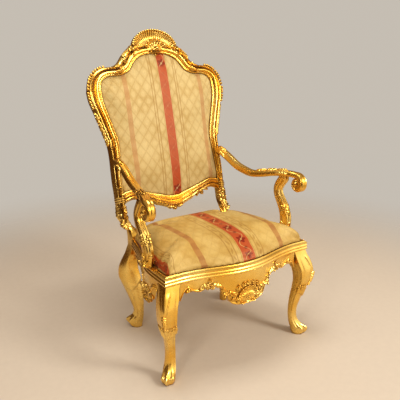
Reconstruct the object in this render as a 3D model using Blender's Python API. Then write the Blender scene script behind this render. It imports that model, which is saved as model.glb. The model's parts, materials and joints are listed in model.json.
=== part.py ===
# Gilded rococo armchair with a shell crest, carved aprons and a stuffed seat and back.
# Metres, +Z up, +Y towards the back. The origin is on the floor, under the middle of the chair.

import bpy
import bmesh
from math import cos, pi, radians, sin, tan
from mathutils import Matrix, Vector
from mathutils.bvhtree import BVHTree

for thing in list(bpy.data.objects):
    bpy.data.objects.remove(thing, do_unlink=True)

# Driving sizes
gap = 0.0003                 # air left between two pieces that touch

seatHeight = 0.430           # floor to the flat top of the seat rails
frontHalfWidth = 0.335       # middle to the outer face of a front leg's block
frontCornerY = -0.298        # front face of those blocks
frontBow = 0.048             # swell of the front rail ahead of the blocks
rearHalfWidth = 0.262        # middle to the outer face of a rear post at the seat
rearCornerY = 0.165          # back face of the rear posts at the seat
sideBow = 0.014              # swell of the side rails
frontBlock = 0.058           # width of a front leg where the rails meet it
rearBlock = 0.050            # width of a rear post where the rails meet it

railThick = 0.045            # front to back, at the moulding
apronThick = 0.022           # the thinner board below the moulding
mouldingHeight = 0.037       # the three ridges along the rails
ridgeOut = 0.007             # how far the ridges stand out
apronRest = 0.363            # lower edge of the front apron beside the drop
apronDrop = 0.261            # lower edge of the drop in the middle
sideRest = 0.372             # the same two heights on the sides
sideDrop = 0.268
apronBead = 0.006            # bead along the lower edge of the aprons
apronShell = (0.052, 0.075)  # half width and height of the shell on the front drop
sideShell = (0.030, 0.050)
shellRelief = 0.012          # thickness of those two shells
rearRailLow = 0.365          # lower edge of the plain rear rail
rearRailThick = 0.036
rearRailInset = 0.004        # how far it lies in front of the back of the posts

backRake = radians(13.7)     # lean of the back
backFootY = 0.197            # front surface of the back at backFootZ
backFootZ = 0.499
backThick = 0.036            # front to back of the back frame
beadFront = 0.013            # how far its broad inner bead stands in front of that surface
shoulderHeight = 1.030       # joint of crest rail and posts
shoulderHalfWidth = 0.338    # middle to the outer edge of the frame there, its widest place
archTop = 1.226              # outer edge of the frame under the crest's shell
crestShellTop = 1.283        # tips of the shell's middle flutes
shellHalfWidth = 0.114       # middle to the tips of its lowest flutes
shellFlutes = 25
shellThick = 0.018
littleShell = (0.050, 0.046) # half width and height of the shell under the large one
beadSize = 0.009             # beads round the shoulders

legHeight = seatHeight - mouldingHeight
armWide = 0.036
armThick = 0.034
armHeight = 0.690            # centre line of the arm at its scroll
armHalfSpan = frontHalfWidth + 0.022   # middle to the centre line of the scroll
supportX = frontHalfWidth + 0.001      # middle to the foot of an arm support
supportY = frontCornerY + 0.126
scrollY = supportY - 0.041   # centre of the scroll
scrollRadius = 0.034         # its first turn, on the centre line
scrollEye = 0.010
scrollTurns = 1.15
scrollWeb = 0.013            # half the width of the sunk part inside the scroll
supportWide = 0.033

cushionRise = 0.082          # crown of the seat above the rails
cushionInset = 0.007         # rail left bare outside the seat cover
cushionRoll = 0.046          # height of the seat's rolled edge
boardThick = 0.010
padRise = 0.012              # crown of the back pad in front of the frame's face
padSink = 0.005              # edge of the back pad behind the frame's face
panelThick = 0.005           # outside back

frontOverhang = frontCornerY - frontBow - ridgeOut


# Shared shapes
def mix(a, b, share):
    return a + (b - a) * share


def ease(share):
    return share * share * (3 - 2 * share)


def smoothRows(rows, steps):
    # Rows of numbers, with steps - 1 more between neighbours, along a smooth curve
    found = []
    last = len(rows) - 1
    for i in range(last):
        before = rows[max(i - 1, 0)]
        after = rows[min(i + 2, last)]
        for step in range(steps):
            t = step / steps
            found.append(tuple(
                0.5 * (2 * b + (c - a) * t + (2 * a - 5 * b + 4 * c - d) * t * t
                       + (3 * b - a - 3 * c + d) * t ** 3)
                for a, b, c, d in zip(before, rows[i], rows[i + 1], after)))
    found.append(tuple(rows[last]))
    return found


def between(rows, height):
    # Row at a height, from rows that start with their height
    for low, high in zip(rows, rows[1:]):
        if height <= high[0]:
            share = max(height - low[0], 0) / (high[0] - low[0])
            return tuple(mix(a, b, share) for a, b in zip(low, high))
    return tuple(rows[-1])


def loft(rings):
    # A closed body through rings of equal length, grown ring by ring from the first one
    body = bmesh.new()
    face = body.faces.new([body.verts.new(spot) for spot in rings[0]])
    start = face
    for ring in rings[1:]:
        grown = bmesh.ops.extrude_face_region(body, geom=[face])["geom"]
        if face is not start:
            bmesh.ops.delete(body, geom=[face], context="FACES_ONLY")
        face = next(item for item in grown if isinstance(item, bmesh.types.BMFace))
        for vert, spot in zip(face.verts, ring):
            vert.co = spot
    bmesh.ops.recalc_face_normals(body, faces=body.faces)
    return body


chair = bpy.data.objects.new("chair", None)
bpy.context.collection.objects.link(chair)


def makeMaterial(name, colour, roughness, metallic):
    material = bpy.data.materials.new(name)
    material.use_nodes = True
    shader = material.node_tree.nodes["Principled BSDF"]
    shader.inputs["Base Color"].default_value = (*colour, 1)
    shader.inputs["Roughness"].default_value = roughness
    shader.inputs["Metallic"].default_value = metallic
    return material


gilding = makeMaterial("gilding", (0.83, 0.55, 0.16), 0.28, 1.0)
damask = makeMaterial("damask", (0.74, 0.62, 0.38), 0.6, 0.0)
backing = makeMaterial("backing", (0.55, 0.43, 0.25), 0.8, 0.0)


def place(name, body, material, side=1, sharp=38):
    # Side -1 mirrors a right-hand body to the left of the chair
    if side < 0:
        bmesh.ops.scale(body, vec=(-1, 1, 1), verts=body.verts)
        bmesh.ops.recalc_face_normals(body, faces=body.faces)
    mesh = bpy.data.meshes.new(name)
    body.to_mesh(mesh)
    body.free()
    mesh.materials.append(material)
    mesh.shade_smooth()
    mesh.set_sharp_from_angle(angle=radians(sharp))
    thing = bpy.data.objects.new(name, mesh)
    bpy.context.collection.objects.link(thing)
    thing.parent = chair
    return thing


def join(target, bodies, side=1):
    # Carving that is one with its piece
    for number, body in enumerate(bodies):
        tool = place(f"{target.name}_carving_{number}", body, target.data.materials[0], side)
        tool.hide_render = True
        tool.display_type = "WIRE"
        union = target.modifiers.new("carving", "BOOLEAN")
        union.operation = "UNION"
        union.solver = "EXACT"
        union.object = tool


# Legs: sections in the leg's own diagonal plane, out towards the corner of the room
legAngles = (0, 45, 79, 90, 101, 140, 180, 220, 259, 270, 281, 315)
edgeBead = {90: 0.05, 270: 0.05, 79: -0.03, 101: -0.03, 259: -0.03, 281: -0.03}


def legRing(corner, heading, height, outer, inner, wide, power, bead=1.0):
    # Rounded diamond; heading is the diagonal's direction, outer and inner its reach on it
    ring = []
    along = Vector((cos(heading), sin(heading), 0))
    across = Vector((-sin(heading), cos(heading), 0))
    middle = (outer + inner) / 2
    reach = (outer - inner) / 2
    for degrees in legAngles:
        turn = radians(degrees)
        size = (abs(cos(turn)) ** power + abs(sin(turn)) ** power) ** (-1 / power)
        size *= 1 + bead * edgeBead.get(degrees, 0)
        ring.append(Vector((*corner, height)) + along * (middle + reach * size * cos(turn))
                    + across * (wide / 2 * size * sin(turn)))
    return ring


# Height as a share of the leg, then reach outwards, reach inwards and width across as shares of
# the block, and roundness
frontLegRows = (
    (0.000, 0.276, -0.655, 0.793, 1.70), (0.030, 0.414, -0.724, 0.897, 1.60),
    (0.069, 0.431, -0.793, 0.948, 1.50), (0.112, 0.052, -0.879, 0.810, 1.50),
    (0.160, -0.241, -0.948, 0.707, 1.60), (0.229, -0.379, -1.000, 0.655, 1.70),
    (0.316, -0.362, -1.000, 0.655, 1.70), (0.394, -0.207, -0.966, 0.724, 1.60),
    (0.470, -0.017, -0.897, 0.862, 1.50), (0.515, 0.138, -0.828, 1.069, 1.40),
    (0.575, 0.310, -0.776, 1.155, 1.35), (0.650, 0.517, -0.741, 1.241, 1.30),
    (0.720, 0.638, -0.793, 1.293, 1.30), (0.800, 0.621, -0.948, 1.345, 1.25),
    (0.880, 0.414, -1.155, 1.397, 1.20), (0.945, 0.190, -1.276, 1.397, 1.12),
)
rearLegRows = (
    (0.000, 0.44, -0.60, 0.84, 1.70), (0.031, 0.62, -0.62, 0.92, 1.60),
    (0.069, 0.82, -0.68, 0.92, 1.50), (0.107, 0.60, -0.74, 0.84, 1.50),
    (0.153, 0.22, -0.78, 0.76, 1.60), (0.216, 0.14, -0.80, 0.74, 1.70),
    (0.293, 0.34, -0.82, 0.76, 1.70), (0.382, 0.64, -0.80, 0.84, 1.60),
    (0.506, 1.10, -0.72, 1.00, 1.50), (0.540, 1.22, -0.68, 1.10, 1.40),
    (0.640, 1.38, -0.52, 1.14, 1.35), (0.746, 1.26, -0.36, 1.16, 1.30),
    (0.885, 0.76, -0.48, 1.20, 1.25),
)


def ridgeLevels():
    # Heights and stand-out of the three ridges, from the top of the rails down
    pitch = mouldingHeight / 3
    levels = [(0.0, seatHeight)]
    for ridge in range(3):
        stand = ridgeOut * (0.8 + 0.1 * ridge)
        levels.append((stand, seatHeight - pitch * (ridge + 0.35)))
        levels.append((stand - 0.6 * ridgeOut, seatHeight - pitch * (ridge + 0.85)))
    return levels


def blockRing(cornerX, cornerY, wide, facing, height, stand):
    # Square section of a leg's block; facing is the sign of its outer corner in Y
    half = (wide + stand) / 2
    corner = (cornerX + stand - half, cornerY + facing * (stand - half))
    reach = half * 2 ** 0.5
    return legRing(corner, radians(45) * facing, height, reach, -reach, 2 * reach, 1, 0)


def frontLeg(side):
    corner = (frontHalfWidth, frontCornerY)
    rings = []
    for share, *reach, power in frontLegRows:
        reach = [frontBlock * value for value in reach]
        rings.append(legRing(corner, radians(-45), share * legHeight, *reach, power))
    for stand, height in reversed(ridgeLevels()):
        rings.append(blockRing(*corner, frontBlock, -1, height, stand))
    name = "front_leg_left" if side < 0 else "front_leg_right"
    place(name, loft(rings), gilding, side)


frontLeg(-1)
frontLeg(1)


# Rails round the seat
def railRing(edge, outward, low):
    # Section of a rail at a point of its top edge, down to the apron's lower edge
    stands = ridgeLevels()
    under = stands[-1][1]
    section = [(-railThick, seatHeight)] + stands
    section.append((0.0, low + 1.7 * apronBead))
    section.append((apronBead / 2, low + 0.8 * apronBead))
    section.append((0.0, low))
    section.append((-apronThick, low))
    section.append((-apronThick, under - 0.7 * apronBead))
    section.append((-railThick, under - apronBead))
    return [Vector((edge[0] + outward[0] * stand, edge[1] + outward[1] * stand, height))
            for stand, height in section]


# Share of the way from the middle to the leg, and share of the drop
frontApronShape = (
    (0.00, 1.00), (0.12, 0.99), (0.20, 0.95), (0.27, 0.86), (0.31, 0.68), (0.345, 0.48),
    (0.39, 0.27), (0.46, 0.09), (0.53, 0.05), (0.61, 0.07), (0.70, 0.19), (0.79, 0.15),
    (0.88, -0.02), (0.94, 0.10), (1.00, 0.40),
)
# Share of the way from the front leg to the rear post, and share of the drop
sideApronShape = (
    (0.00, 0.45), (0.04, 0.18), (0.10, 0.12), (0.16, 0.45), (0.22, 0.86), (0.32, 1.00),
    (0.42, 0.86), (0.48, 0.42), (0.54, 0.12), (0.66, 0.00), (0.88, 0.06), (1.00, 0.35),
)


def frontEdge(x):
    # Top edge of the front rail, ahead of the leg blocks
    share = min(abs(x) / (frontHalfWidth - frontBlock), 1)
    return frontCornerY - frontBow * (1 + cos(pi * share)) / 2


def sideEdge(share):
    # Point of the side rail's top edge, from the front leg's block to the rear post's
    x = mix(frontHalfWidth, rearHalfWidth, share) + sideBow * sin(pi * share ** 0.6) ** 2
    y = mix(frontCornerY + frontBlock, rearCornerY - rearBlock, share)
    return x, y


def fan(centre, right, up, out, widths, heights, flutes, spread, thick, bow, hollow, scallop):
    # A shell: flutes that open from a small arch to a large one. Bow is how far its face
    # sinks between the two, hollow how deep a flute is, scallop how far each tip is rounded
    rings = []
    count = 2 * flutes
    for step in range(count + 1):
        turn = spread * (2 * step / count - 1)
        crown = step % 2
        tip = 1 - (0 if crown else scallop)
        sunk = 0 if crown else hollow
        ring = []
        for share, level in ((0, -thick), (0, 0), (0.45, -bow - sunk), (0.9, -sunk), (1.0, -thick)):
            reach = share * tip
            spot = (centre + right * (mix(widths[0], widths[1], reach) * sin(turn))
                    + up * (mix(heights[0], heights[1], reach) * cos(turn)))
            ring.append(spot + out * level)
        rings.append(ring)
    return loft(rings)


def frontRail():
    half = frontHalfWidth - frontBlock - gap
    rows = [(share * half, mix(apronRest, apronDrop, drop)) for share, drop in frontApronShape]
    stations = [(-x, low) for x, low in reversed(rows[1:])] + rows
    rings = [railRing((x, frontEdge(x)), (0, -1), low) for x, low in stations]
    rail = place("front_seat_rail", loft(rings), gilding)
    face = frontCornerY - frontBow
    wide, tall = apronShell
    shellBase = Vector((0, face - shellRelief / 3, apronDrop + 0.24 * tall))
    shell = fan(shellBase, Vector((1, 0, 0)), Vector((0, 0, 1)), Vector((0, -1, 0)),
                (0.23 * wide, wide), (0.13 * tall, tall), 7, radians(105), shellRelief,
                0.25 * shellRelief, 0.17 * shellRelief, 0.07)
    join(rail, [shell])


def sideRail(side):
    stations = []
    for share, drop in sideApronShape:
        x, y = sideEdge(share)
        if share == 0:
            y += gap
        if share == 1:
            y -= gap
        stations.append(((x, y), mix(sideRest, sideDrop, drop)))
    rings = [railRing(edge, (1, 0), low) for edge, low in stations]
    name = "side_seat_rail_left" if side < 0 else "side_seat_rail_right"
    rail = place(name, loft(rings), gilding, side)
    middle = sideEdge(0.32)
    wide, tall = sideShell
    shellBase = Vector((middle[0] + shellRelief / 3, middle[1], sideDrop + 0.28 * tall))
    shell = fan(shellBase, Vector((0, 1, 0)), Vector((0, 0, 1)), Vector((1, 0, 0)),
                (0.27 * wide, wide), (0.16 * tall, tall), 5, radians(100), shellRelief,
                0.17 * shellRelief, 0.12 * shellRelief, 0.07)
    join(rail, [shell], side)


def rearRail():
    half = rearHalfWidth - rearBlock - gap
    back = rearCornerY - rearRailInset
    front = back - rearRailThick
    rings = []
    for x in (-half, half):
        rings.append([Vector((x, y, z)) for y, z in (
            (front, seatHeight), (front, rearRailLow), (back, rearRailLow), (back, seatHeight))])
    place("rear_seat_rail", loft(rings), gilding)


frontRail()
sideRail(-1)
sideRail(1)
rearRail()


# Back frame, drawn on its raked front surface
def onBack(x, z, depth):
    y = backFootY + (z - backFootZ) * tan(backRake)
    return Vector((x, y - depth * cos(backRake), z + depth * sin(backRake)))


def backFace(z, depth):
    # How far back a point at a height stands when it is this far in front of the surface
    return backFootY + (z - backFootZ) * tan(backRake) - depth / cos(backRake)


# Share of the width from the fabric outwards, and depth in front of the surface: shares of the
# thickness for the wood's back, of the inner bead for its face
frameSection = [(share, depth * backThick) for share, depth in (
    (0.95, -0.92), (0.50, -1.00), (0.10, -0.97), (0.00, -0.83))]
frameSection += [(share, depth * beadFront) for share, depth in (
    (0.00, -0.15), (0.08, 0.31), (0.17, 0.08), (0.32, 1.00), (0.48, 0.92), (0.62, -0.31),
    (0.80, 0.54), (1.00, -0.38))]


def frameRing(innerX, innerZ, outerX, outerZ):
    return [onBack(mix(innerX, outerX, share), mix(innerZ, outerZ, share), depth)
            for share, depth in frameSection]


# Inner edge across and up, outer edge across and up, from the middle of the crest to the shoulder:
# shares of the shoulder's half width, and of the way from the shoulder to the arch's top
crestRows = (
    (0.000, 0.776, 0.000, 1.000), (0.101, 0.765, 0.118, 0.990), (0.180, 0.740, 0.231, 0.959),
    (0.281, 0.663, 0.367, 0.898), (0.352, 0.541, 0.467, 0.750), (0.414, 0.408, 0.550, 0.582),
    (0.518, 0.327, 0.639, 0.510), (0.607, 0.311, 0.716, 0.495), (0.695, 0.301, 0.805, 0.469),
    (0.775, 0.245, 0.891, 0.388), (0.817, 0.143, 0.962, 0.240), (0.828, 0.000, 1.000, 0.000),
)
# The same edges on the post: share of the way from its foot to the shoulder, inner, outer
postRows = (
    (-0.028, 0.722, 0.840), (0.030, 0.726, 0.831), (0.087, 0.726, 0.828),
    (0.143, 0.726, 0.828), (0.209, 0.726, 0.828), (0.284, 0.728, 0.831),
    (0.379, 0.719, 0.828), (0.473, 0.704, 0.822), (0.548, 0.692, 0.825),
    (0.623, 0.698, 0.843), (0.699, 0.728, 0.879), (0.774, 0.760, 0.911),
    (0.849, 0.793, 0.950), (0.925, 0.820, 0.988), (1.000, 0.828, 1.000),
)
crestEdges = []
for innerShare, innerRise, outerShare, outerRise in crestRows:
    crestEdges.append((innerShare * shoulderHalfWidth, mix(shoulderHeight, archTop, innerRise),
                       outerShare * shoulderHalfWidth, mix(shoulderHeight, archTop, outerRise)))
postEdges = []
for rise, innerShare, outerShare in postRows:
    postEdges.append((mix(backFootZ, shoulderHeight, rise),
                      innerShare * shoulderHalfWidth, outerShare * shoulderHalfWidth))
beadedRows = 3               # rows at the shoulder whose outer edge is a string of beads
beadSteps = 4                # beads between two of those rows


def beadRows(rows):
    # The same rows, closer together where the beads are
    finer = smoothRows(rows, beadSteps)
    plain = len(rows) - 1 - beadedRows
    return list(rows[:plain]) + finer[plain * beadSteps:]


def carveBeads(body, rings, first, last):
    # Raises each outer facet from ring first to ring last into a bead
    facets = []
    corners = {}
    for vert in body.verts:
        corners[tuple(round(value, 6) for value in vert.co)] = vert
    for ring, following in zip(rings[first:last], rings[first + 1:last + 1]):
        spots = (ring[-1], ring[-2], following[-2], following[-1])
        verts = [corners[tuple(round(value, 6) for value in spot)] for spot in spots]
        facets.append(body.faces.get(verts))
    bmesh.ops.inset_individual(body, faces=facets, thickness=beadSize / 4, depth=beadSize / 2)


def crestRail():
    right = [frameRing(*row) for row in beadRows(crestEdges)]
    right[-1] = [spot + Vector((0, 0, gap)) for spot in right[-1]]
    left = [[Vector((-spot.x, spot.y, spot.z)) for spot in ring] for ring in right[:0:-1]]
    rings = left + right
    body = loft(rings)
    carveBeads(body, rings, 0, beadedRows * beadSteps)
    carveBeads(body, rings, len(rings) - 1 - beadedRows * beadSteps, len(rings) - 1)
    rail = place("crest_rail", body, gilding)
    out = Vector((0, -cos(backRake), sin(backRake)))
    up = Vector((0, sin(backRake), cos(backRake)))
    baseZ = archTop - 0.39 * (crestShellTop - archTop)
    rise = (crestShellTop - baseZ) / cos(backRake)
    shell = fan(onBack(0, baseZ, shellThick / 3), Vector((1, 0, 0)), up, out,
                (0.4 * shellHalfWidth, shellHalfWidth), (0.12 * rise, rise), shellFlutes,
                radians(82), shellThick, 0.22 * shellThick, 0.17 * shellThick, 0.05)
    wide, tall = littleShell
    small = fan(onBack(0, baseZ - 0.3 * tall, shellThick), Vector((1, 0, 0)), up, out,
                (0.24 * wide, wide), (0.17 * tall, tall), 7, radians(80), shellThick,
                0.17 * shellThick, 0.17 * shellThick, 0.06)
    join(rail, [shell, small])


crestRail()


def rearPost(side):
    corner = (rearHalfWidth - 0.34 * rearBlock, rearCornerY - 0.26 * rearBlock)
    rings = []
    for share, *reach, power in rearLegRows:
        reach = [rearBlock * value for value in reach]
        rings.append(legRing(corner, radians(45), share * legHeight, *reach, power))
    blockTop = blockRing(rearHalfWidth, rearCornerY, rearBlock, 1, seatHeight, 0)
    rings.append(blockRing(rearHalfWidth, rearCornerY, rearBlock, 1, legHeight, 0))
    rings.append(blockTop)
    first = postEdges[0]
    for rise, share in ((0.37, 0.40), (0.70, 0.80)):
        height = mix(seatHeight, first[0], rise)
        frame = frameRing(first[1], height, first[2], height)
        rings.append([a.lerp(b, share) for a, b in zip(blockTop, frame)])
        rings[-1] = [Vector((spot.x, spot.y, mix(height, spot.z, share))) for spot in rings[-1]]
    for height, inner, outer in beadRows(postEdges):
        rings.append(frameRing(inner, height, outer, height))
    rings[-1] = [spot - Vector((0, 0, gap)) for spot in rings[-1]]
    body = loft(rings)
    carveBeads(body, rings, len(rings) - 1 - beadedRows * beadSteps, len(rings) - 1)
    name = "rear_post_left" if side < 0 else "rear_post_right"
    place(name, body, gilding, side)


rearPost(-1)
rearPost(1)

# Share of the way from the middle to the post, then upper and lower edge as shares of the way
# from the foot of the back to the shoulder
lowerRailRows = (
    (0.00, 0.119, 0.009), (0.11, 0.122, 0.015), (0.21, 0.134, 0.032),
    (0.30, 0.147, 0.047), (0.38, 0.156, 0.058), (0.47, 0.168, 0.083),
    (0.58, 0.181, 0.102), (0.72, 0.202, 0.122), (0.83, 0.213, 0.132),
    (0.93, 0.207, 0.122), (1.00, 0.198, 0.107),
)
lowerSection = [(share, depth * backThick) for share, depth in (
    (0.00, -0.94), (0.00, 0.00), (0.10, 0.14), (0.24, 0.00), (0.38, 0.33), (0.54, 0.06),
    (0.70, 0.33), (0.88, 0.06), (1.00, -0.17), (0.94, -0.94))]


def lowerRing(x, upper, lower):
    return [onBack(x, mix(upper, lower, share), depth) for share, depth in lowerSection]


def lowerRailHalf():
    rows = [(share, mix(backFootZ, shoulderHeight, upper), mix(backFootZ, shoulderHeight, lower))
            for share, upper, lower in lowerRailRows]
    half = between(postEdges, rows[-1][1])[1] - 2 * gap
    return [(share * half, upper, lower) for share, upper, lower in rows]


def lowerBackRail():
    rows = lowerRailHalf()
    rings = [lowerRing(-x, upper, lower) for x, upper, lower in reversed(rows[1:])]
    rings += [lowerRing(*row) for row in rows]
    place("lower_back_rail", loft(rings), gilding)


lowerBackRail()


# Upholstery
def backOutline():
    # Right half of the opening in the back frame, from the top middle to the bottom middle
    spots = [(row[0], row[1]) for row in crestEdges]
    lower = lowerRailHalf()
    top = lower[-1][1] + lower[-1][1] / 60
    spots += [(row[1], row[0]) for row in reversed(postEdges[:-1]) if row[0] > top]
    spots += [(x, upper) for x, upper, under in reversed(lower)]
    return spots


def backRing(inset, scale, depth):
    # The opening's outline, brought in by inset, then shrunk about the pad's middle
    right = backOutline()
    middle = (right[0][1] + right[-1][1]) / 2
    loop = right + [(-x, z) for x, z in right[-2:0:-1]]
    ring = []
    for x, z in loop:
        arm = Vector((x, z - middle))
        arm *= scale * (1 - inset / arm.length)
        ring.append(onBack(arm.x, arm.y + middle, depth))
    return ring


def backPad():
    inset = 4 * gap
    rings = [backRing(inset, scale, depth) for scale, depth in (
        (1.00, panelThick + gap - backThick + 0.003), (1.00, -padSink - 0.003),
        (0.97, -padSink + 0.006), (0.80, padRise - 0.004), (0.40, padRise))]
    place("back_pad", loft(rings), damask, sharp=60)
    panel = [backRing(inset, 1, depth - backThick + 0.003) for depth in (0, panelThick)]
    place("outside_back", loft(panel), backing)


backPad()


def seatOutline():
    # Right half of the seat cover's edge at the rails, from the front middle to the rear middle
    spots = []
    half = frontHalfWidth - frontBlock
    for share in (0, 0.2, 0.4, 0.6, 0.8, 1.0):
        spots.append((share * half, frontEdge(share * half) + cushionInset))
    spots.append((frontHalfWidth - 0.022, frontCornerY + cushionInset))
    spots.append((frontHalfWidth - cushionInset - 0.003, frontCornerY + 0.018))
    supportInner = supportX - supportWide / 2 - 0.004
    for share in (0.04, 0.10, 0.30, 0.36, 0.50, 0.65, 0.80, 0.97):
        x, y = sideEdge(share)
        x -= cushionInset
        if 0.08 < share < 0.32:
            x = min(x, supportInner)
        spots.append((x, y))
    inside = rearHalfWidth - rearBlock - 0.006
    spots.append((inside, rearCornerY - rearBlock - 0.006))
    spots.append((inside, rearCornerY - 0.016))
    spots.append((0.0, rearCornerY - 0.016))
    return spots


def seatRing(inset, height, scale=1.0):
    right = seatOutline()
    middle = (right[0][1] + right[-1][1]) / 2
    loop = right + [(-x, y) for x, y in right[-2:0:-1]]
    ring = []
    for x, y in loop:
        arm = Vector((x, y - middle))
        arm *= scale * (1 - inset / arm.length)
        ring.append(Vector((arm.x, arm.y + middle, height)))
    return ring


def seat():
    base = seatHeight + gap
    rings = [seatRing(0, base), seatRing(-0.002, base + 0.5 * cushionRoll)]
    rings.append(seatRing(0.007, base + cushionRoll))
    rings.append(seatRing(0.035, mix(base + cushionRoll, base + cushionRise, 0.58)))
    rings.append(seatRing(0.0, mix(base + cushionRoll, base + cushionRise, 0.92), 0.68))
    rings.append(seatRing(0.0, base + cushionRise, 0.28))
    place("seat_cushion", loft(rings), damask, sharp=60)


def boardOutline():
    # Right half of the space between the rails, from the front middle to the rear middle
    half = frontHalfWidth - frontBlock - gap
    spots = []
    for share, drop in frontApronShape:
        spots.append((share * half, frontEdge(share * half) + railThick + gap))
    spots.append((half, frontCornerY + frontBlock + gap))
    for share, drop in sideApronShape:
        x, y = sideEdge(share)
        if share in (0, 1):
            y += gap * (1 - 2 * share)
        spots.append((x - railThick - gap, y))
    rear = rearHalfWidth - rearBlock - gap
    if spots[-1][0] > rear:
        spots.append((rear, spots[-1][1]))
    spots.append((rear, rearCornerY - rearRailInset - rearRailThick - gap))
    spots.append((0.0, rearCornerY - rearRailInset - rearRailThick - gap))
    return spots


def seatBoard():
    right = boardOutline()
    loop = right + [(-x, y) for x, y in right[-2:0:-1]]
    rings = [[Vector((x, y, height)) for x, y in loop]
             for height in (seatHeight - boardThick, seatHeight)]
    place("seat_board", loft(rings), backing)


seat()
seatBoard()


# Arms: a smooth centre line that ends in a scroll
def scrollSpot(share):
    # Share 0 is the top of the scroll, where the arm runs into it
    turn = pi / 2 + 2 * pi * scrollTurns * share
    reach = mix(scrollRadius, scrollEye, share ** 1.4)
    height = armHeight - scrollRadius - 0.001
    return Vector((armHalfSpan, scrollY + reach * cos(turn), height + reach * sin(turn)))


# Share of the way from the back to the scroll, then x inside the scroll's as a share of its own
# and height over it as a share of the arm's over the seat
armShape = (
    (0.00, -0.266, 0.185), (0.08, -0.263, 0.165), (0.20, -0.258, 0.085),
    (0.32, -0.246, -0.012), (0.43, -0.230, -0.062), (0.53, -0.210, -0.085),
    (0.64, -0.157, -0.062), (0.73, -0.112, -0.027), (0.82, -0.073, -0.004),
    (0.91, -0.036, 0.008), (0.96, -0.017, 0.004),
)


def armPath():
    tall = armHeight - seatHeight
    start = backFace(armHeight + armShape[0][2] * tall, beadFront + 2 * gap)
    path = []
    for share, inward, rise in armShape:
        path.append(Vector((armHalfSpan * (1 + inward), mix(start, scrollY, share),
                            armHeight + rise * tall)))
    turns = 13
    for step in range(turns + 1):
        path.append(scrollSpot(step / turns))
    return path


def sweep(path, sides, widths, thicks, corners, power=2.6):
    # Rounded section carried along a path; sides are level directions across it
    rings = []
    for i, spot in enumerate(path):
        ahead = path[min(i + 1, len(path) - 1)] - path[max(i - 1, 0)]
        rise = ahead.cross(sides[i]).normalized()
        ring = []
        for corner in range(corners):
            turn = 2 * pi * (corner + 0.5) / corners
            size = (abs(cos(turn)) ** power + abs(sin(turn)) ** power) ** (-1 / power)
            ring.append(spot + sides[i] * (widths[i] / 2 * size * cos(turn))
                        + rise * (thicks[i] / 2 * size * sin(turn)))
        rings.append(ring)
    return rings


def armRings():
    path = armPath()
    level = len(armShape)
    sides = []
    widths = []
    thicks = []
    for i in range(len(path)):
        scroll = max(i - level, 0) / (len(path) - level - 1)
        ahead = path[min(i + 1, level)] - path[min(i, level) - 1 if i else 0]
        across = Vector((ahead.y, -ahead.x, 0)).normalized()
        if i >= level:
            across = Vector((-1, 0, 0))
        sides.append(-across)
        widths.append(armWide * mix(1, 0.9, scroll))
        taper = mix(1, 0.7, ease(min(i / level, 1))) * mix(1, 0.3, scroll ** 0.6)
        thicks.append(armThick * taper)
    rings = sweep(path, sides, widths, thicks, 8)
    rings[0] = [Vector((spot.x, path[0].y + (spot.z - path[0].z) * tan(backRake), spot.z))
                for spot in rings[0]]
    return rings


def underArm(ring):
    # Heights for a ring of points on a plane that just clears the arm's underside
    body = loft(armRings())
    tree = BVHTree.FromBMesh(body)
    body.free()

    def above(spot):
        # Beyond the arm's edge nothing is in the way, up to the height of its middle
        hit = tree.ray_cast(Vector((spot.x, spot.y, seatHeight)), Vector((0, 0, 1)))[0]
        return hit.z if hit else armHeight

    middle = sum(ring, Vector()) / len(ring)
    reach = max(spot.y for spot in ring) - middle.y
    front, back = (above(middle + Vector((0, way * reach, 0))) for way in (-0.8, 0.8))
    slope = (back - front) / (1.6 * reach)
    level = [above(middle) + slope * (spot.y - middle.y) for spot in ring]
    clear = min(above(spot) - height for spot, height in zip(ring, level))
    return [height + min(clear, 0) - 2 * gap for height in level]


def arm(side):
    name = "arm_left" if side < 0 else "arm_right"
    thing = place(name, loft(armRings()), gilding, side)
    eye = bmesh.new()
    bmesh.ops.create_cone(eye, cap_ends=True, segments=14, radius1=scrollRadius * 0.72,
                          radius2=scrollRadius * 0.72, depth=2 * scrollWeb)
    bmesh.ops.rotate(eye, verts=eye.verts, matrix=turnAcross)
    bmesh.ops.translate(eye, verts=eye.verts, vec=scrollSpot(0) - Vector((0, 0, scrollRadius)))
    join(thing, [eye], side)


turnAcross = Matrix.Rotation(pi / 2, 3, "Y")

arm(-1)
arm(1)

# Arm support: share of its height, y from its foot as a share of that height, then thickness and
# x from its foot as shares of its width
supportRows = (
    (0.00, 0.049, 1.39, 0.00), (0.12, 0.016, 1.33, 0.00), (0.25, 0.012, 1.58, 0.03),
    (0.36, 0.041, 1.52, 0.06), (0.46, 0.091, 1.39, 0.09), (0.56, 0.165, 1.27, 0.12),
    (0.66, 0.231, 1.15, 0.12), (0.76, 0.251, 1.12, 0.12), (0.86, 0.206, 1.21, 0.12),
    (0.95, 0.140, 1.27, 0.15), (1.00, 0.107, 1.33, 0.15),
)


def armSupport(side):
    base = seatHeight + gap
    top = armHeight - armThick / 2
    path = [Vector((supportX + x * supportWide, supportY + y * (top - base), mix(base, top, share)))
            for share, y, thick, x in supportRows]
    across = [Vector((1, 0, 0))] * len(path)
    thicks = [row[2] * supportWide for row in supportRows]
    rings = sweep(path, across, [supportWide] * len(path), thicks, 10, 3.0)
    rings[0] = [Vector((spot.x, spot.y, base)) for spot in rings[0]]
    rings[-1] = [Vector((spot.x, spot.y, height))
                 for spot, height in zip(rings[-1], underArm(rings[-1]))]
    name = "arm_support_left" if side < 0 else "arm_support_right"
    place(name, loft(rings), gilding, side)


armSupport(-1)
armSupport(1)

chairFront = frontOverhang
chairBack = onBack(0, crestShellTop, -shellThick).y
chair.location.y = -(chairFront + chairBack) / 2
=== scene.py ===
import json
import bpy
import bmesh
import numpy as np
from functools import partial
from math import cos, pi, radians, sin, sqrt, tan
from mathutils import Matrix, Vector
from mathutils.bvhtree import BVHTree

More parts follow.
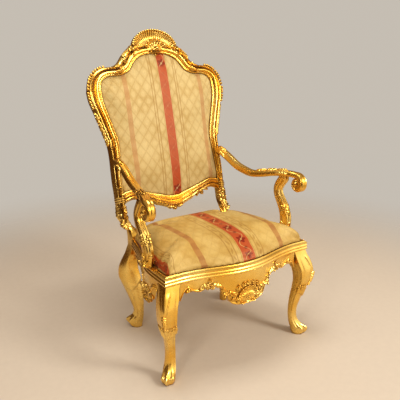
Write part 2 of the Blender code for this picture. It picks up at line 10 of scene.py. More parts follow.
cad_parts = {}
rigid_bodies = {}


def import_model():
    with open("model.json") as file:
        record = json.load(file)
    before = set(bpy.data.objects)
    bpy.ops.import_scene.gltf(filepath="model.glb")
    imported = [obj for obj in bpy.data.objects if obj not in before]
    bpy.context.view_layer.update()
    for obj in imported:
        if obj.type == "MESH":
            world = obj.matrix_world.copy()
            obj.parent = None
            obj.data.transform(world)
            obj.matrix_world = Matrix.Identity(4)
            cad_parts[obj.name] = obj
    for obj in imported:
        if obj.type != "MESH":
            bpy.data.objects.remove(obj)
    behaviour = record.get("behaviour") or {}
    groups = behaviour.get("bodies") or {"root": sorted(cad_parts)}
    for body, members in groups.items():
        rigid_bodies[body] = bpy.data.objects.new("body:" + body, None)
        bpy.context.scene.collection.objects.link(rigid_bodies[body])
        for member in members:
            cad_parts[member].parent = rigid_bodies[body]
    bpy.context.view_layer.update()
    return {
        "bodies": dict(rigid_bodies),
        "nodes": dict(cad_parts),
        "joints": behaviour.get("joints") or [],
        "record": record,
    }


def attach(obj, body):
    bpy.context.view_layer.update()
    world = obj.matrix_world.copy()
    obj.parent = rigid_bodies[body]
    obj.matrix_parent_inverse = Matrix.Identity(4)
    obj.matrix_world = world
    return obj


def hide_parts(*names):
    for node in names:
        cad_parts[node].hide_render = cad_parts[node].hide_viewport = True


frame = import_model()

chairShift = Vector((0, -0.0263, 0))
gap = 0.0003
sharpEdge = radians(40)
up = Vector((0, 0, 1))
rightward = Vector((1, 0, 0))
forward = Vector((0, -1, 0))


# Shape helpers
def mix(a, b, share):
    return a + (b - a) * share


def ease(share):
    share = min(max(share, 0), 1)
    return share * share * (3 - 2 * share)


def bump(value, centre, width):
    return np.exp(-((value - centre) / width) ** 2)


def onset(value, level, width):
    # Rises from 0 to 1 past the level, or falls where the width is negative
    return 1 / (1 + np.exp((level - value) / width))


def roundness(turn, power):
    # Reach of a rounded diamond or square of half width 1
    return (abs(np.cos(turn)) ** power + abs(np.sin(turn)) ** power) ** (-1 / power)


def readAt(value, rows, given, wanted):
    return float(np.interp(value, [row[given] for row in rows], [row[wanted] for row in rows]))


def bothSides(rows):
    # The right half's rows, with their mirror image before them
    return [(-x, *rest) for x, *rest in reversed(rows[1:])] + [tuple(row) for row in rows]


def smooth(points, steps, closed=False):
    # Points between the given ones on a smooth curve, along the first axis
    points = np.asarray(points, float)
    count = len(points)
    index = np.arange(count if closed else count - 1)

    def row(shift):
        return points[(index + shift) % count if closed else np.clip(index + shift, 0, count - 1)]

    a, b, c, d = row(-1), row(0), row(1), row(2)
    t = (np.arange(steps) / steps).reshape((-1,) + (1,) * points.ndim)
    curve = 0.5 * (2 * b + (c - a) * t + (2 * a - 5 * b + 4 * c - d) * t ** 2
                   + (3 * b - a - 3 * c + d) * t ** 3)
    curve = np.swapaxes(curve, 0, 1).reshape((len(index) * steps,) + points.shape[1:])
    return curve if closed else np.concatenate([curve, points[-1:]])


def finer(rings, along, around):
    # Rings of a closed section, with more of them and more points in each
    rings = smooth(rings, along) if along > 1 else np.asarray(rings, float)
    if around > 1:
        rings = np.swapaxes(smooth(np.swapaxes(rings, 0, 1), around, closed=True), 0, 1)
    return rings


def raised(rings, relief):
    # Moves each point along the surface's own normal by its relief
    rings = np.asarray(rings, float)
    ahead = np.gradient(rings, axis=0)
    across = np.roll(rings, -1, axis=1) - np.roll(rings, 1, axis=1)
    normal = np.cross(across, ahead)
    normal /= np.maximum(np.linalg.norm(normal, axis=2, keepdims=True), 1e-12)
    outward = rings - rings.mean(axis=1, keepdims=True)
    if (normal * outward).sum() < 0:
        normal = -normal
    return rings + normal * np.broadcast_to(relief, rings.shape[:2])[..., None]


def loft(rings):
    # A closed body through rings of equal length, grown ring by ring
    body = bmesh.new()
    face = body.faces.new([body.verts.new(spot) for spot in rings[0]])
    first = face
    for ring in rings[1:]:
        grown = bmesh.ops.extrude_face_region(body, geom=[face])["geom"]
        if face is not first:
            bmesh.ops.delete(body, geom=[face], context="FACES_ONLY")
        face = next(item for item in grown if isinstance(item, bmesh.types.BMFace))
        for vert, spot in zip(face.verts, ring):
            vert.co = spot
    bmesh.ops.recalc_face_normals(body, faces=body.faces)
    return body


def absorb(target, source):
    # Adds one body to another
    mesh = bpy.data.meshes.new("part")
    source.to_mesh(mesh)
    source.free()
    target.from_mesh(mesh)
    bpy.data.meshes.remove(mesh)


def addObject(name, data):
    made = bpy.data.objects.new(name, data)
    bpy.context.scene.collection.objects.link(made)
    return made


def finishPiece(name, body, material, node, side=1):
    # Side -1 mirrors a right-hand body; the place goes into the mesh
    if side < 0:
        bmesh.ops.scale(body, vec=(-1, 1, 1), verts=body.verts)
        bmesh.ops.reverse_faces(body, faces=body.faces)
    bmesh.ops.translate(body, verts=body.verts, vec=chairShift)
    mesh = bpy.data.meshes.new(name)
    body.to_mesh(mesh)
    body.free()
    mesh.materials.append(material)
    mesh.shade_smooth()
    mesh.set_sharp_from_angle(angle=sharpEdge)
    piece = addObject(name, mesh)
    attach(piece, "root")
    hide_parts(node)


def finishGilded(node, body, side=1):
    finishPiece(node + "_carved", body, gold, node, side=side)


def sideName(name, side):
    return name + ("_left" if side < 0 else "_right")


# Carving helpers: each shape is laid on the wood under it, looking along "out"
def drape(spots, tree, out, lift, steep=0.009):
    # Carries each spot along out to the wood, then lifts it. Spots past the wood's edge keep the
    # nearest one's level, and none leaves the middle's level by more than steep
    spots = [Vector(spot) for spot in spots]
    hits = [tree.ray_cast(spot + out * 0.05, -out, 0.12)[0] for spot in spots]
    found = np.array([i for i, hit in enumerate(hits) if hit], int)
    flat = np.array([spot - out * spot.dot(out) for spot in spots])
    levels = np.array([(hit if hit else spot).dot(out) for hit, spot in zip(hits, spots)])
    if len(found):
        for i, hit in enumerate(hits):
            if not hit:
                levels[i] = levels[found[np.linalg.norm(flat[found] - flat[i], axis=1).argmin()]]
        middle = np.median(levels[found])
        levels = np.clip(levels, middle - steep, middle + steep)
    return [Vector(place) + out * float(level + height)
            for place, level, height in zip(flat, levels, lift)]


def leaf(target, tree, root, along, out, length, width, height, lobes=3, bend=0.0, curl=0.0,
         deep=0.004):
    # A carved leaf: rounded lobes that sweep forward, a middle rib, and a tip that rolls over
    body = bmesh.new()
    bmesh.ops.create_grid(body, x_segments=16, y_segments=8, size=0.5)
    out = Vector(out).normalized()
    along = (Vector(along) - out * Vector(along).dot(out)).normalized()
    side = out.cross(along)
    spots, lift = [], []
    for vert in body.verts:
        u, v = vert.co.x + 0.5, abs(vert.co.y * 2)
        lobe = abs(sin(pi * lobes * u)) ** 0.7
        half = width / 2 * sin(pi * (0.10 + 0.80 * u)) ** 0.6 * sqrt(1 - 0.97 * u ** 8)
        half *= 0.74 + 0.26 * lobe
        turn = bend * u * u
        reach = length * (u + 0.12 * v * (1 - u))
        spot = Vector(root) + along * (reach * cos(turn))
        spot += side * (reach * sin(turn) + vert.co.y * 2 * half)
        swelling = abs(sin(pi * lobes * (u - 0.06 * v))) ** 0.8
        across = 0.62 + 0.50 * float(bump(v, 0, 0.15))
        across += 0.45 * swelling * float(bump(v, 0.62, 0.26))
        across = (across - 0.30 * (1 - swelling) * min(2 * v, 1)) * (1 - v ** 4)
        full = min(1, 4 * (u + 0.06)) ** 0.5 * sqrt(1 - 0.9 * u ** 10)
        spots.append(spot)
        lift.append((height * across + curl * u * u) * full - 0.0015 * (v > 0.95))
    laid = drape(spots, tree, out, lift)
    for vert, spot in zip(body.verts, laid):
        vert.co = spot
    grown = bmesh.ops.extrude_face_region(body, geom=list(body.faces))["geom"]
    under = [item for item in grown if isinstance(item, bmesh.types.BMVert)]
    bmesh.ops.translate(body, verts=under, vec=out * -deep)
    bmesh.ops.recalc_face_normals(body, faces=body.faces)
    absorb(target, body)


def leaves(target, tree, rows, place, side, rise, out, way=1, size=1.0, **kind):
    # Rows are place across and up, heading across and up, length, width, height and bend
    for x, z, across, ahead, length, width, height, bend in rows:
        leaf(target, tree, place(way * x, z), side * (way * across) + rise * ahead, out,
             length * size, width * size, height * size, bend=bend * way, **kind)


def bead(target, spot, radius, flat=1.0):
    body = bmesh.new()
    bmesh.ops.create_uvsphere(body, u_segments=8, v_segments=6, radius=radius)
    bmesh.ops.scale(body, vec=(1, 1, flat), verts=body.verts)
    bmesh.ops.translate(body, vec=spot, verts=body.verts)
    absorb(target, body)


def rope(target, spots, radii, around=8, close=2):
    # A round tapered rib along a smooth line, for scrolls, stems and rims
    rows = smooth([(*spot, radius) for spot, radius in zip(spots, radii)], close)
    rings = []
    side = rightward
    for i, row in enumerate(rows):
        ahead = Vector(rows[min(i + 1, len(rows) - 1)][:3]) - Vector(rows[max(i - 1, 0)][:3])
        ahead.normalize()
        side = side - ahead * side.dot(ahead)
        if side.length < 0.1:
            side = ahead.orthogonal()
        side.normalize()
        rise = ahead.cross(side)
        rings.append([Vector(row[:3]) + (side * cos(turn) + rise * sin(turn)) * float(row[3])
                      for turn in [2 * pi * k / around for k in range(around)]])
    absorb(target, loft(rings))


def scroll(target, tree, centre, start, out, radius, turns, thick, tail=(), flip=1):
    # A volute on the wood: winds in from start (a direction) with a tail before it
    out = Vector(out).normalized()
    start = (Vector(start) - out * Vector(start).dot(out)).normalized()
    side = out.cross(start) * flip
    spots = [Vector(spot) for spot in tail]
    radii = [thick * mix(0.35, 1, (i + 1) / (len(spots) + 1)) for i in range(len(spots))]
    steps = int(12 * turns) + 1
    for step in range(steps + 1):
        share = step / steps
        turn = 2 * pi * turns * share
        reach = radius * mix(1, 0.18, share ** 0.8)
        spots.append(Vector(centre) + start * (reach * cos(turn)) + side * (reach * sin(turn)))
        radii.append(thick * mix(1, 0.75, share))
    laid = drape(spots, tree, out, [thick * 0.35] * len(spots))
    rope(target, laid, radii)
    bead(target, laid[-1], thick * 1.25)


def shell(target, centre, right, up, out, widths, heights, flutes, spread, thick, depth, lip,
          start, knob, steps=8):
    # A scallop shell that opens from a small arch to a large one. Depth is the flutes' depth,
    # lip how far its rim rolls forward, start where the flutes begin, knob their rounded ends
    count = flutes * steps
    profile = [(0.0, 0.0), (0.08, 0.14), (0.20, 0.02), (0.34, -0.30), (0.50, -0.42), (0.64, -0.26),
               (0.76, 0.08), (0.86, 0.32), (0.94, 0.32), (0.985, 0.10), (1.0, -0.25)]
    rings = []
    for step in range(count + 1):
        turn = spread * (2 * step / count - 1)
        wave = abs(sin(pi * flutes * step / count))
        ring = [centre - out * thick]
        for share, level in profile:
            grow = ease((share - start) / 0.35)
            reach = share * (1 - 0.085 * (1 - wave ** 0.6) * grow)
            spot = (centre + right * (mix(widths[0], widths[1], reach) * sin(turn))
                    + up * (mix(heights[0], heights[1], reach) * cos(turn)))
            ring.append(spot + out * (level * (thick * 0.6 + lip)
                                      - depth * (1 - wave ** 0.7) * grow))
        ring.append(ring[-1] - out * thick * 0.8 - up * 0.002)
        rings.append(ring)
    absorb(target, loft(rings))
    for number in range(flutes):
        turn = spread * (2 * (number + 0.5) / flutes - 1)
        spot = (centre + right * (widths[1] * 0.945 * sin(turn))
                + up * (heights[1] * 0.945 * cos(turn)))
        bead(target, spot + out * (lip - 0.45 * knob), knob)


# Materials
def addNode(tree, kind, inputs=None, **settings):
    made = tree.nodes.new("ShaderNode" + kind)
    for key, value in settings.items():
        setattr(made, key, value)
    for key, value in (inputs or {}).items():
        if isinstance(value, bpy.types.NodeSocket):
            tree.links.new(value, made.inputs[key])
        else:
            made.inputs[key].default_value = value
    return made


def calc(tree, operation, *values):
    return addNode(tree, "Math", dict(enumerate(values)), operation=operation).outputs[0]


def mathOn(tree, *operations):
    # Short calls for math nodes of one tree
    return [partial(calc, tree, operation) for operation in operations]


def blendColour(tree, share, a, b, how="MIX"):
    made = addNode(tree, "Mix", {0: share, 6: a, 7: b}, data_type="RGBA", blend_type=how)
    return made.outputs[2]


def ramp(tree, value, low, high, first=0.0, last=1.0):
    # Value from low to high, carried smoothly to first and last
    return addNode(tree, "MapRange", {0: value, 1: low, 2: high, 3: first, 4: last},
                   interpolation_type="SMOOTHSTEP").outputs[0]


def newMaterial(name):
    material = bpy.data.materials.new(name)
    material.use_nodes = True
    return material, material.node_tree, material.node_tree.nodes["Principled BSDF"]


def addRelief(tree, shader, strength, distance, height):
    relief = addNode(tree, "Bump", {"Strength": strength, "Distance": distance, "Height": height})
    tree.links.new(relief.outputs[0], shader.inputs["Normal"])


def newGroup(name, inputs, outputs):
    group = bpy.data.node_groups.new(name, "ShaderNodeTree")
    for label, value in inputs.items():
        kind = "NodeSocketFloat" if isinstance(value, (int, float)) else "NodeSocketColor"
        if label == "Vector":
            kind = "NodeSocketVector"
        socket = group.interface.new_socket(name=label, in_out="INPUT", socket_type=kind)
        socket.default_value = value
    for label, kind in outputs.items():
        group.interface.new_socket(name=label, in_out="OUTPUT", socket_type="NodeSocket" + kind)
    given, made = group.nodes.new("NodeGroupInput"), group.nodes.new("NodeGroupOutput")
    return group, given.outputs, made.inputs


def makeLeafGilding():
    # Gold leaf: warm and pale patches, laps of the leaves, and painted shade that darkens the
    # hollows
    group, given, made = newGroup(
        "leafGilding",
        {"Warm": (1, 1, 1, 1), "Pale": (1, 1, 1, 1), "Shade colour": (0, 0, 0, 1), "Depth": 0.01,
         "Painted shade": 0.8, "Polish": 0.24},
        {"Color": "Color", "Roughness": "Float", "Metallic": "Float", "Height": "Float"})
    plus, minus, times = mathOn(group, "ADD", "SUBTRACT", "MULTIPLY")
    place = addNode(group, "TexCoord").outputs["Object"]
    cloud = addNode(group, "TexNoise", {"Vector": place, "Scale": 7, "Detail": 3}).outputs["Fac"]
    grain = addNode(group, "TexNoise", {"Vector": place, "Scale": 120, "Detail": 4}).outputs["Fac"]
    cells = addNode(group, "TexVoronoi", {"Vector": place, "Scale": 16},
                    feature="DISTANCE_TO_EDGE")
    lap = ramp(group, cells.outputs["Distance"], 0.0, 0.02, 1.0, 0.0)
    # Painted shade: closed-in hollows turn dark red-brown, rougher and less metallic
    open_ = addNode(group, "AmbientOcclusion", {"Distance": given["Depth"]},
                    samples=6).outputs["AO"]
    deep = ramp(group, plus(open_, times(grain, 0.25)), 0.45, 0.95, 1, 0)
    deep = times(deep, given["Painted shade"])
    colour = blendColour(group, ramp(group, cloud, 0.35, 0.65), given["Warm"], given["Pale"])
    colour = blendColour(group, times(lap, 0.16), colour, given["Warm"], "MULTIPLY")
    colour = blendColour(group, deep, colour, given["Shade colour"])
    group.links.new(colour, made["Color"])
    rough = plus(given["Polish"], times(grain, 0.12))
    rough = plus(rough, times(deep, 0.25))
    group.links.new(rough, made["Roughness"])
    group.links.new(minus(1.0, times(deep, 0.45)), made["Metallic"])
    height = plus(grain, times(lap, 0.5))
    group.links.new(height, made["Height"])
    return group


leafGilding = makeLeafGilding()


# The third colour is the painted shade for hollows; depth and the next value set its reach and
# strength
def makeGold(name, warm, pale, hollow, depth, paintedShade, polish):
    material, tree, shader = newMaterial(name)
    leafed = addNode(tree, "Group", node_tree=leafGilding)
    for label, value in (("Warm", (*warm, 1)), ("Pale", (*pale, 1)), ("Shade colour", (*hollow, 1)),
                         ("Depth", depth), ("Painted shade", paintedShade), ("Polish", polish)):
        leafed.inputs[label].default_value = value
    tree.links.new(leafed.outputs["Color"], shader.inputs["Base Color"])
    tree.links.new(leafed.outputs["Roughness"], shader.inputs["Roughness"])
    tree.links.new(leafed.outputs["Metallic"], shader.inputs["Metallic"])
    addRelief(tree, shader, 0.12, 0.0006, leafed.outputs["Height"])
    return material


# The dark red-brown is painted shade for the hollows
gold = makeGold("gold_leaf", (0.84, 0.48, 0.070), (0.97, 0.68, 0.19), (0.17, 0.05, 0.008),
                0.013, 0.92, 0.20)


clothRepeat = {"across": 0.38, "flower": 0.094, "diamondWide": 0.046, "diamondTall": 0.062}


def makeDamaskWeave():
    # Silk damask from a flat place in metres: x across the stripes, y along them
    group, given, made = newGroup(
        "damaskWeave",
        {"Vector": (0, 0, 0), "Ground": (1, 1, 1, 1), "Pale": (1, 1, 1, 1), "Line": (0, 0, 0, 1),
         "Red": (1, 0, 0, 1), "Dark": (0, 0, 0, 1), "Rose": (1, 0, 0, 1), "Red half": 0.024,
         "Line near": 0.056, "Line far": 0.066, "Rose half": 0.012, "Floral": 1.0, "Lattice": 1.0},
        {"Color": "Color", "Roughness": "Float", "Height": "Float"})
    plus, minus, times, over, most, power, size, wave = mathOn(
        group, "ADD", "SUBTRACT", "MULTIPLY", "DIVIDE", "MAXIMUM", "POWER", "ABSOLUTE", "SINE")
    flat = addNode(group, "SeparateXYZ", {0: given["Vector"]}).outputs
    half = clothRepeat["across"] / 2
    across = addNode(group, "Math", {0: flat[0], 1: half, 2: -half}, operation="WRAP").outputs[0]
    away = size(across)
    place = given["Vector"]
    slub = addNode(group, "Mapping", {"Vector": place, "Scale": (900, 60, 1)})
    slub = addNode(group, "TexNoise", {"Vector": slub.outputs[0], "Scale": 1,
                                       "Detail": 2}).outputs["Fac"]
    cloud = addNode(group, "TexNoise", {"Vector": place, "Scale": 9, "Detail": 3}).outputs["Fac"]
    soft = 0.0011

    def band(value, centre, width):
        off = size(minus(value, centre))
        near, far = minus(width, soft), plus(width, soft)
        return ramp(group, off, near, far, 1.0, 0.0)

    # Lattice of diamonds with a pale oval in each
    one = over(across, clothRepeat["diamondWide"])
    two = over(flat[1], clothRepeat["diamondTall"])
    rise = calc(group, "WRAP", plus(one, two), 0.5, -0.5)
    fall = calc(group, "WRAP", minus(one, two), 0.5, -0.5)
    edge = most(size(rise), size(fall))
    lattice = ramp(group, edge, 0.40, 0.46)
    inner = power(plus(rise, fall), 2.0)
    upper = power(minus(rise, fall), 2.0)
    oval = ramp(group, plus(inner, upper), 0.08, 0.22, 1.0, 0.0)
    colour = blendColour(group, ramp(group, cloud, 0.3, 0.7), given["Ground"], given["Pale"])
    shade = times(times(lattice, 0.24), given["Lattice"])
    colour = blendColour(group, shade, colour, given["Line"])
    shade = times(times(oval, 0.5), given["Lattice"])
    colour = blendColour(group, shade, colour, given["Pale"])

    # Flowers and a vine along a stripe
    pitch = clothRepeat["flower"]
    along = calc(group, "WRAP", flat[1], pitch / 2, -pitch / 2)
    turn = calc(group, "ARCTAN2", along, across)
    reach = calc(group, "SQRT", plus(power(across, 2.0), power(along, 2.0)))
    petal = calc(group, "COSINE", times(turn, 5.0))
    petal = plus(0.0175, times(petal, 0.0040))
    flower = ramp(group, minus(reach, petal), -0.001, 0.001, 1.0, 0.0)
    eye = ramp(group, reach, 0.0035, 0.005, 1.0, 0.0)
    wind = wave(times(flat[1], 2 * pi / pitch))
    vine = band(minus(across, times(wind, 0.017)), 0.0, 0.0016)
    bud = calc(group, "WRAP", plus(flat[1], pitch / 2), pitch / 2, -pitch / 2)
    bud = calc(group, "SQRT", plus(power(across, 2.0), power(bud, 2.0)))
    bud = ramp(group, bud, 0.007, 0.009, 1.0, 0.0)
    figured = most(flower, bud)

    red = band(away, 0.0, given["Red half"])
    stripe = blendColour(group, times(figured, given["Floral"]), given["Red"], given["Dark"])
    gilt = times(most(vine, eye), given["Floral"])
    stripe = blendColour(group, times(gilt, 0.7), stripe, given["Pale"])
    colour = blendColour(group, red, colour, stripe)
    lines = most(band(away, given["Line near"], 0.0022), band(away, given["Line far"], 0.0022))
    edging = band(away, plus(given["Red half"], 0.004), 0.0014)
    lines = most(lines, edging)
    between = times(plus(given["Line near"], given["Line far"]), 0.5)
    # Small sprays of leaves between the two lines, leaning one way and the other
    lean = wave(times(flat[1], 2 * pi / pitch))
    step = calc(group, "WRAP", flat[1], pitch / 4, -pitch / 4)
    wide = minus(minus(away, between), times(lean, 0.004))
    wide = power(over(wide, 0.0050), 2.0)
    step = power(over(step, 0.017), 2.0)
    spray = ramp(group, plus(wide, step), 0.6, 1.1, 1.0, 0.0)
    spray = times(times(spray, 0.5), given["Floral"])
    colour = blendColour(group, most(times(lines, 0.6), spray), colour, given["Line"])
    rose = band(away, half, given["Rose half"])
    petals = wave(times(flat[1], 2 * pi / 0.066))
    petals = times(ramp(group, petals, -0.5, 0.7), given["Floral"])
    rosy = blendColour(group, times(petals, 0.55), given["Rose"], given["Dark"])
    colour = blendColour(group, times(rose, 0.66), colour, rosy)
    fleck = ramp(group, slub, 0.3, 0.7, 0.90, 1.06)
    colour = addNode(group, "VectorMath", {0: colour, 3: fleck}, operation="SCALE").outputs[0]
    group.links.new(colour, made["Color"])
    satin = most(oval, red)
    group.links.new(ramp(group, satin, 0.0, 1.0, 0.46, 0.36), made["Roughness"])
    ribs = wave(times(flat[1], 2 * pi / 0.0011))
    height = plus(times(ribs, 0.12), times(slub, 0.5))
    height = plus(height, times(lattice, 0.45))
    height = plus(height, times(most(figured, oval), 0.3))
    group.links.new(height, made["Height"])
    return group


damaskWeave = makeDamaskWeave()


def makeDamask(name, colours, values, flowered=None):
    # Flowered gives the two levels, low and high, past which the stripes bear flowers
    material, tree, shader = newMaterial(name)
    flat = addNode(tree, "UVMap", uv_map="cloth").outputs[0]
    shift = addNode(tree, "Mapping", {"Vector": flat, "Location": (-values.pop("offset"), 0, 0)})
    woven = addNode(tree, "Group", node_tree=damaskWeave)
    tree.links.new(shift.outputs[0], woven.inputs["Vector"])
    for label, value in colours.items():
        woven.inputs[label].default_value = (*value, 1)
    for label, value in values.items():
        woven.inputs[label].default_value = value
    if flowered:
        level = addNode(tree, "SeparateXYZ", {0: flat}).outputs[1]
        low = ramp(tree, level, flowered[0] - 0.01, flowered[0] + 0.01, 1.0, 0.0)
        high = ramp(tree, level, flowered[1] - 0.01, flowered[1] + 0.01)
        floral = calc(tree, "MAXIMUM", calc(tree, "MAXIMUM", low, high), 0.16)
        tree.links.new(floral, woven.inputs["Floral"])
    tree.links.new(woven.outputs["Color"], shader.inputs["Base Color"])
    tree.links.new(woven.outputs["Roughness"], shader.inputs["Roughness"])
    addRelief(tree, shader, 0.35, 0.0007, woven.outputs["Height"])
    shader.inputs["Specular IOR Level"].default_value = 0.4
    shader.inputs["Specular Tint"].default_value = (1, 0.74, 0.44, 1)
    shader.inputs["Sheen Weight"].default_value = 0.04
    shader.inputs["Sheen Roughness"].default_value = 0.4
    return material


seatDamask = makeDamask(
    "seat_damask",
    {"Ground": (0.42, 0.25, 0.052), "Pale": (0.56, 0.39, 0.125), "Line": (0.25, 0.115, 0.016),
     "Red": (0.38, 0.060, 0.014), "Dark": (0.19, 0.012, 0.004), "Rose": (0.33, 0.12, 0.028)},
    {"offset": 0.011, "Red half": 0.030, "Line near": 0.052, "Line far": 0.078,
     "Rose half": 0.012, "Floral": 1.0, "Lattice": 0.45})
backDamask = makeDamask(
    "back_damask",
    {"Ground": (0.46, 0.32, 0.112), "Pale": (0.57, 0.44, 0.195), "Line": (0.28, 0.14, 0.022),
     "Red": (0.37, 0.048, 0.010), "Dark": (0.19, 0.012, 0.004), "Rose": (0.42, 0.20, 0.070)},
    {"offset": 0.019, "Red half": 0.022, "Line near": 0.056, "Line far": 0.068,
     "Rose half": 0.011, "Lattice": 1.0}, flowered=(0.115, 0.645))


def makePlainWeave():
    # Plain backing cloth, warp and weft from the object's own place
    material, tree, shader = newMaterial("plain_weave")
    place = addNode(tree, "TexCoord").outputs["Object"]
    cloud = addNode(tree, "TexNoise", {"Vector": place, "Scale": 12, "Detail": 4}).outputs["Fac"]
    warp = addNode(tree, "TexWave", {"Vector": place, "Scale": 260, "Distortion": 0.6},
                   bands_direction="X")
    weft = addNode(tree, "TexWave", {"Vector": place, "Scale": 260, "Distortion": 0.6},
                   bands_direction="Z")
    cross = calc(tree, "MULTIPLY", warp.outputs["Fac"], weft.outputs["Fac"])
    colour = blendColour(tree, ramp(tree, cloud, 0.3, 0.7), (0.62, 0.48, 0.26, 1),
                         (0.72, 0.58, 0.34, 1))
    colour = blendColour(tree, calc(tree, "MULTIPLY", cross, 0.5), colour, (0.74, 0.62, 0.40, 1))
    tree.links.new(colour, shader.inputs["Base Color"])
    tree.links.new(ramp(tree, cloud, 0, 1, 0.75, 0.9), shader.inputs["Roughness"])
    addRelief(tree, shader, 0.4, 0.0006, cross)
    return material


plainWeave = makePlainWeave()
print("materials are ready")


# Legs: sections in the leg's own diagonal plane, out towards the corner of the room
legSizes = {"seatHeight": 0.430, "moulding": 0.037, "ridge": 0.007, "ridgeSteps": 28,
            "corners": 84, "toeTop": 0.13, "fillet": 0.0024, "filletIn": 0.003,
            "frontX": 0.335, "frontY": -0.298, "frontBlock": 0.058,
            "rearX": 0.262, "rearY": 0.165, "rearBlock": 0.050}
seatHeight = legSizes["seatHeight"]
legHeight = seatHeight - legSizes["moulding"]

# Share of the leg's height, reach out, reach in and width as shares of the block, roundness
frontLegRows = (
    (0.000, 0.276, -0.655, 0.793, 1.70), (0.030, 0.414, -0.724, 0.897, 1.60),
    (0.069, 0.431, -0.793, 0.948, 1.50), (0.112, 0.052, -0.879, 0.810, 1.50),
    (0.160, -0.241, -0.948, 0.707, 1.60), (0.229, -0.379, -1.000, 0.655, 1.70),
    (0.316, -0.362, -1.000, 0.655, 1.70), (0.394, -0.207, -0.966, 0.690, 1.60),
    (0.470, -0.050, -0.897, 0.780, 1.60), (0.530, 0.120, -0.828, 0.940, 1.55),
    (0.590, 0.330, -0.776, 1.110, 1.45), (0.650, 0.517, -0.741, 1.241, 1.30),
    (0.720, 0.638, -0.793, 1.293, 1.30), (0.800, 0.621, -0.948, 1.345, 1.25),
    (0.880, 0.414, -1.155, 1.397, 1.20), (0.945, 0.190, -1.276, 1.397, 1.12),
)
rearLegRows = (
    (0.000, 0.44, -0.60, 0.84, 1.70), (0.031, 0.62, -0.62, 0.92, 1.60),
    (0.069, 0.82, -0.68, 0.92, 1.50), (0.107, 0.60, -0.74, 0.84, 1.50),
    (0.153, 0.22, -0.78, 0.76, 1.60), (0.216, 0.14, -0.80, 0.74, 1.70),
    (0.293, 0.34, -0.82, 0.76, 1.70), (0.382, 0.64, -0.80, 0.84, 1.60),
    (0.506, 1.10, -0.72, 1.00, 1.50), (0.540, 1.22, -0.68, 1.10, 1.40),
    (0.640, 1.38, -0.52, 1.14, 1.35), (0.746, 1.26, -0.36, 1.16, 1.30),
    (0.885, 0.76, -0.48, 1.20, 1.25),
)


def legRings(corner, heading, rows):
    # Rounded diamonds; each row is height, outer, inner, width, roundness
    turn = 2 * pi * np.arange(legSizes["corners"]) / legSizes["corners"]
    height, outer, inner, wide, power = (np.array(rows).T[i][:, None] for i in range(5))
    size = roundness(turn, power)
    along = (outer + inner) / 2 + (outer - inner) / 2 * size * np.cos(turn)
    across = wide / 2 * size * np.sin(turn)
    return np.stack([corner[0] + cos(heading) * along - sin(heading) * across,
                     corner[1] + sin(heading) * along + cos(heading) * across,
                     np.broadcast_to(height, along.shape)], axis=2)


def legRows(rows, block):
    return [(share * legHeight, *(block * value for value in reach), power)
            for share, *reach, power in rows]


def ridgeLevels():
    # Stand-out and height of the three rounded ridges, from the top of the rails down
    levels = [(0.0, seatHeight)]
    steps = legSizes["ridgeSteps"]
    for step in range(1, steps):
        share = step / steps
        stand = legSizes["ridge"] * (0.38 + 0.15 * share + 0.47 * abs(sin(3 * pi * share)) ** 0.8)
        levels.append((stand * min(1, 7 * share), seatHeight - legSizes["moulding"] * share))
    levels.append((0.2 * legSizes["ridge"], seatHeight - legSizes["moulding"]))
    return np.array(levels)


def blockRows(wide):
    # The square block under the rails' ridges, as rows of a leg
    return [(height, stand * sqrt(2) * 0.98, -wide * sqrt(2), (wide + stand) * sqrt(2), 1.0)
            for stand, height in reversed(ridgeLevels())]


def toeRelief(turn, share):
    # Flutes between the toes, deepest where the foot flares
    strength = bump(share, 0.45 * legSizes["toeTop"], 0.34 * legSizes["toeTop"])
    fan = np.exp(-(turn / 1.5) ** 4)
    return strength * fan * (0.0054 * np.cos(turn * 6.2) - 0.0012)


def legTurns():
    # Turn of each corner from the leg's outer one, from -pi to pi
    turn = 2 * pi * np.arange(legSizes["corners"]) / legSizes["corners"]
    return ((turn + pi) % (2 * pi) - pi)[None, :]


def edgeRelief(turn, share, low, high):
    # A bead with a groove on each side, along both side edges of a leg
    away = abs(abs(turn) - pi / 2)
    fade = onset(share, low, 0.01) * onset(share, high, -0.012)
    return fade * (0.0020 * bump(away, 0, 0.085) - 0.0012 * bump(away, 0.24, 0.09))


def fillet(body, spots):
    # A fine gilt fillet along the top of the rails, at the edge of the cover
    rope(body, [(x, y, seatHeight) for x, y in spots], [legSizes["fillet"]] * len(spots), close=1)


def shieldRelief(turn, share):
    # A smooth shield on the knee's shoulder that narrows to a V, with a groove round it
    reach = 0.46 * np.clip((share - 0.735) / 0.195, 0, 1) ** 0.8
    inside = np.clip((reach - abs(turn)) / 0.10 + 0.5, 0, 1)
    rise = onset(share, 0.74, 0.008) * onset(share, 0.93, -0.008)
    return rise * (0.0026 * inside - 0.0016 * bump(abs(turn) - reach, 0.10, 0.07))


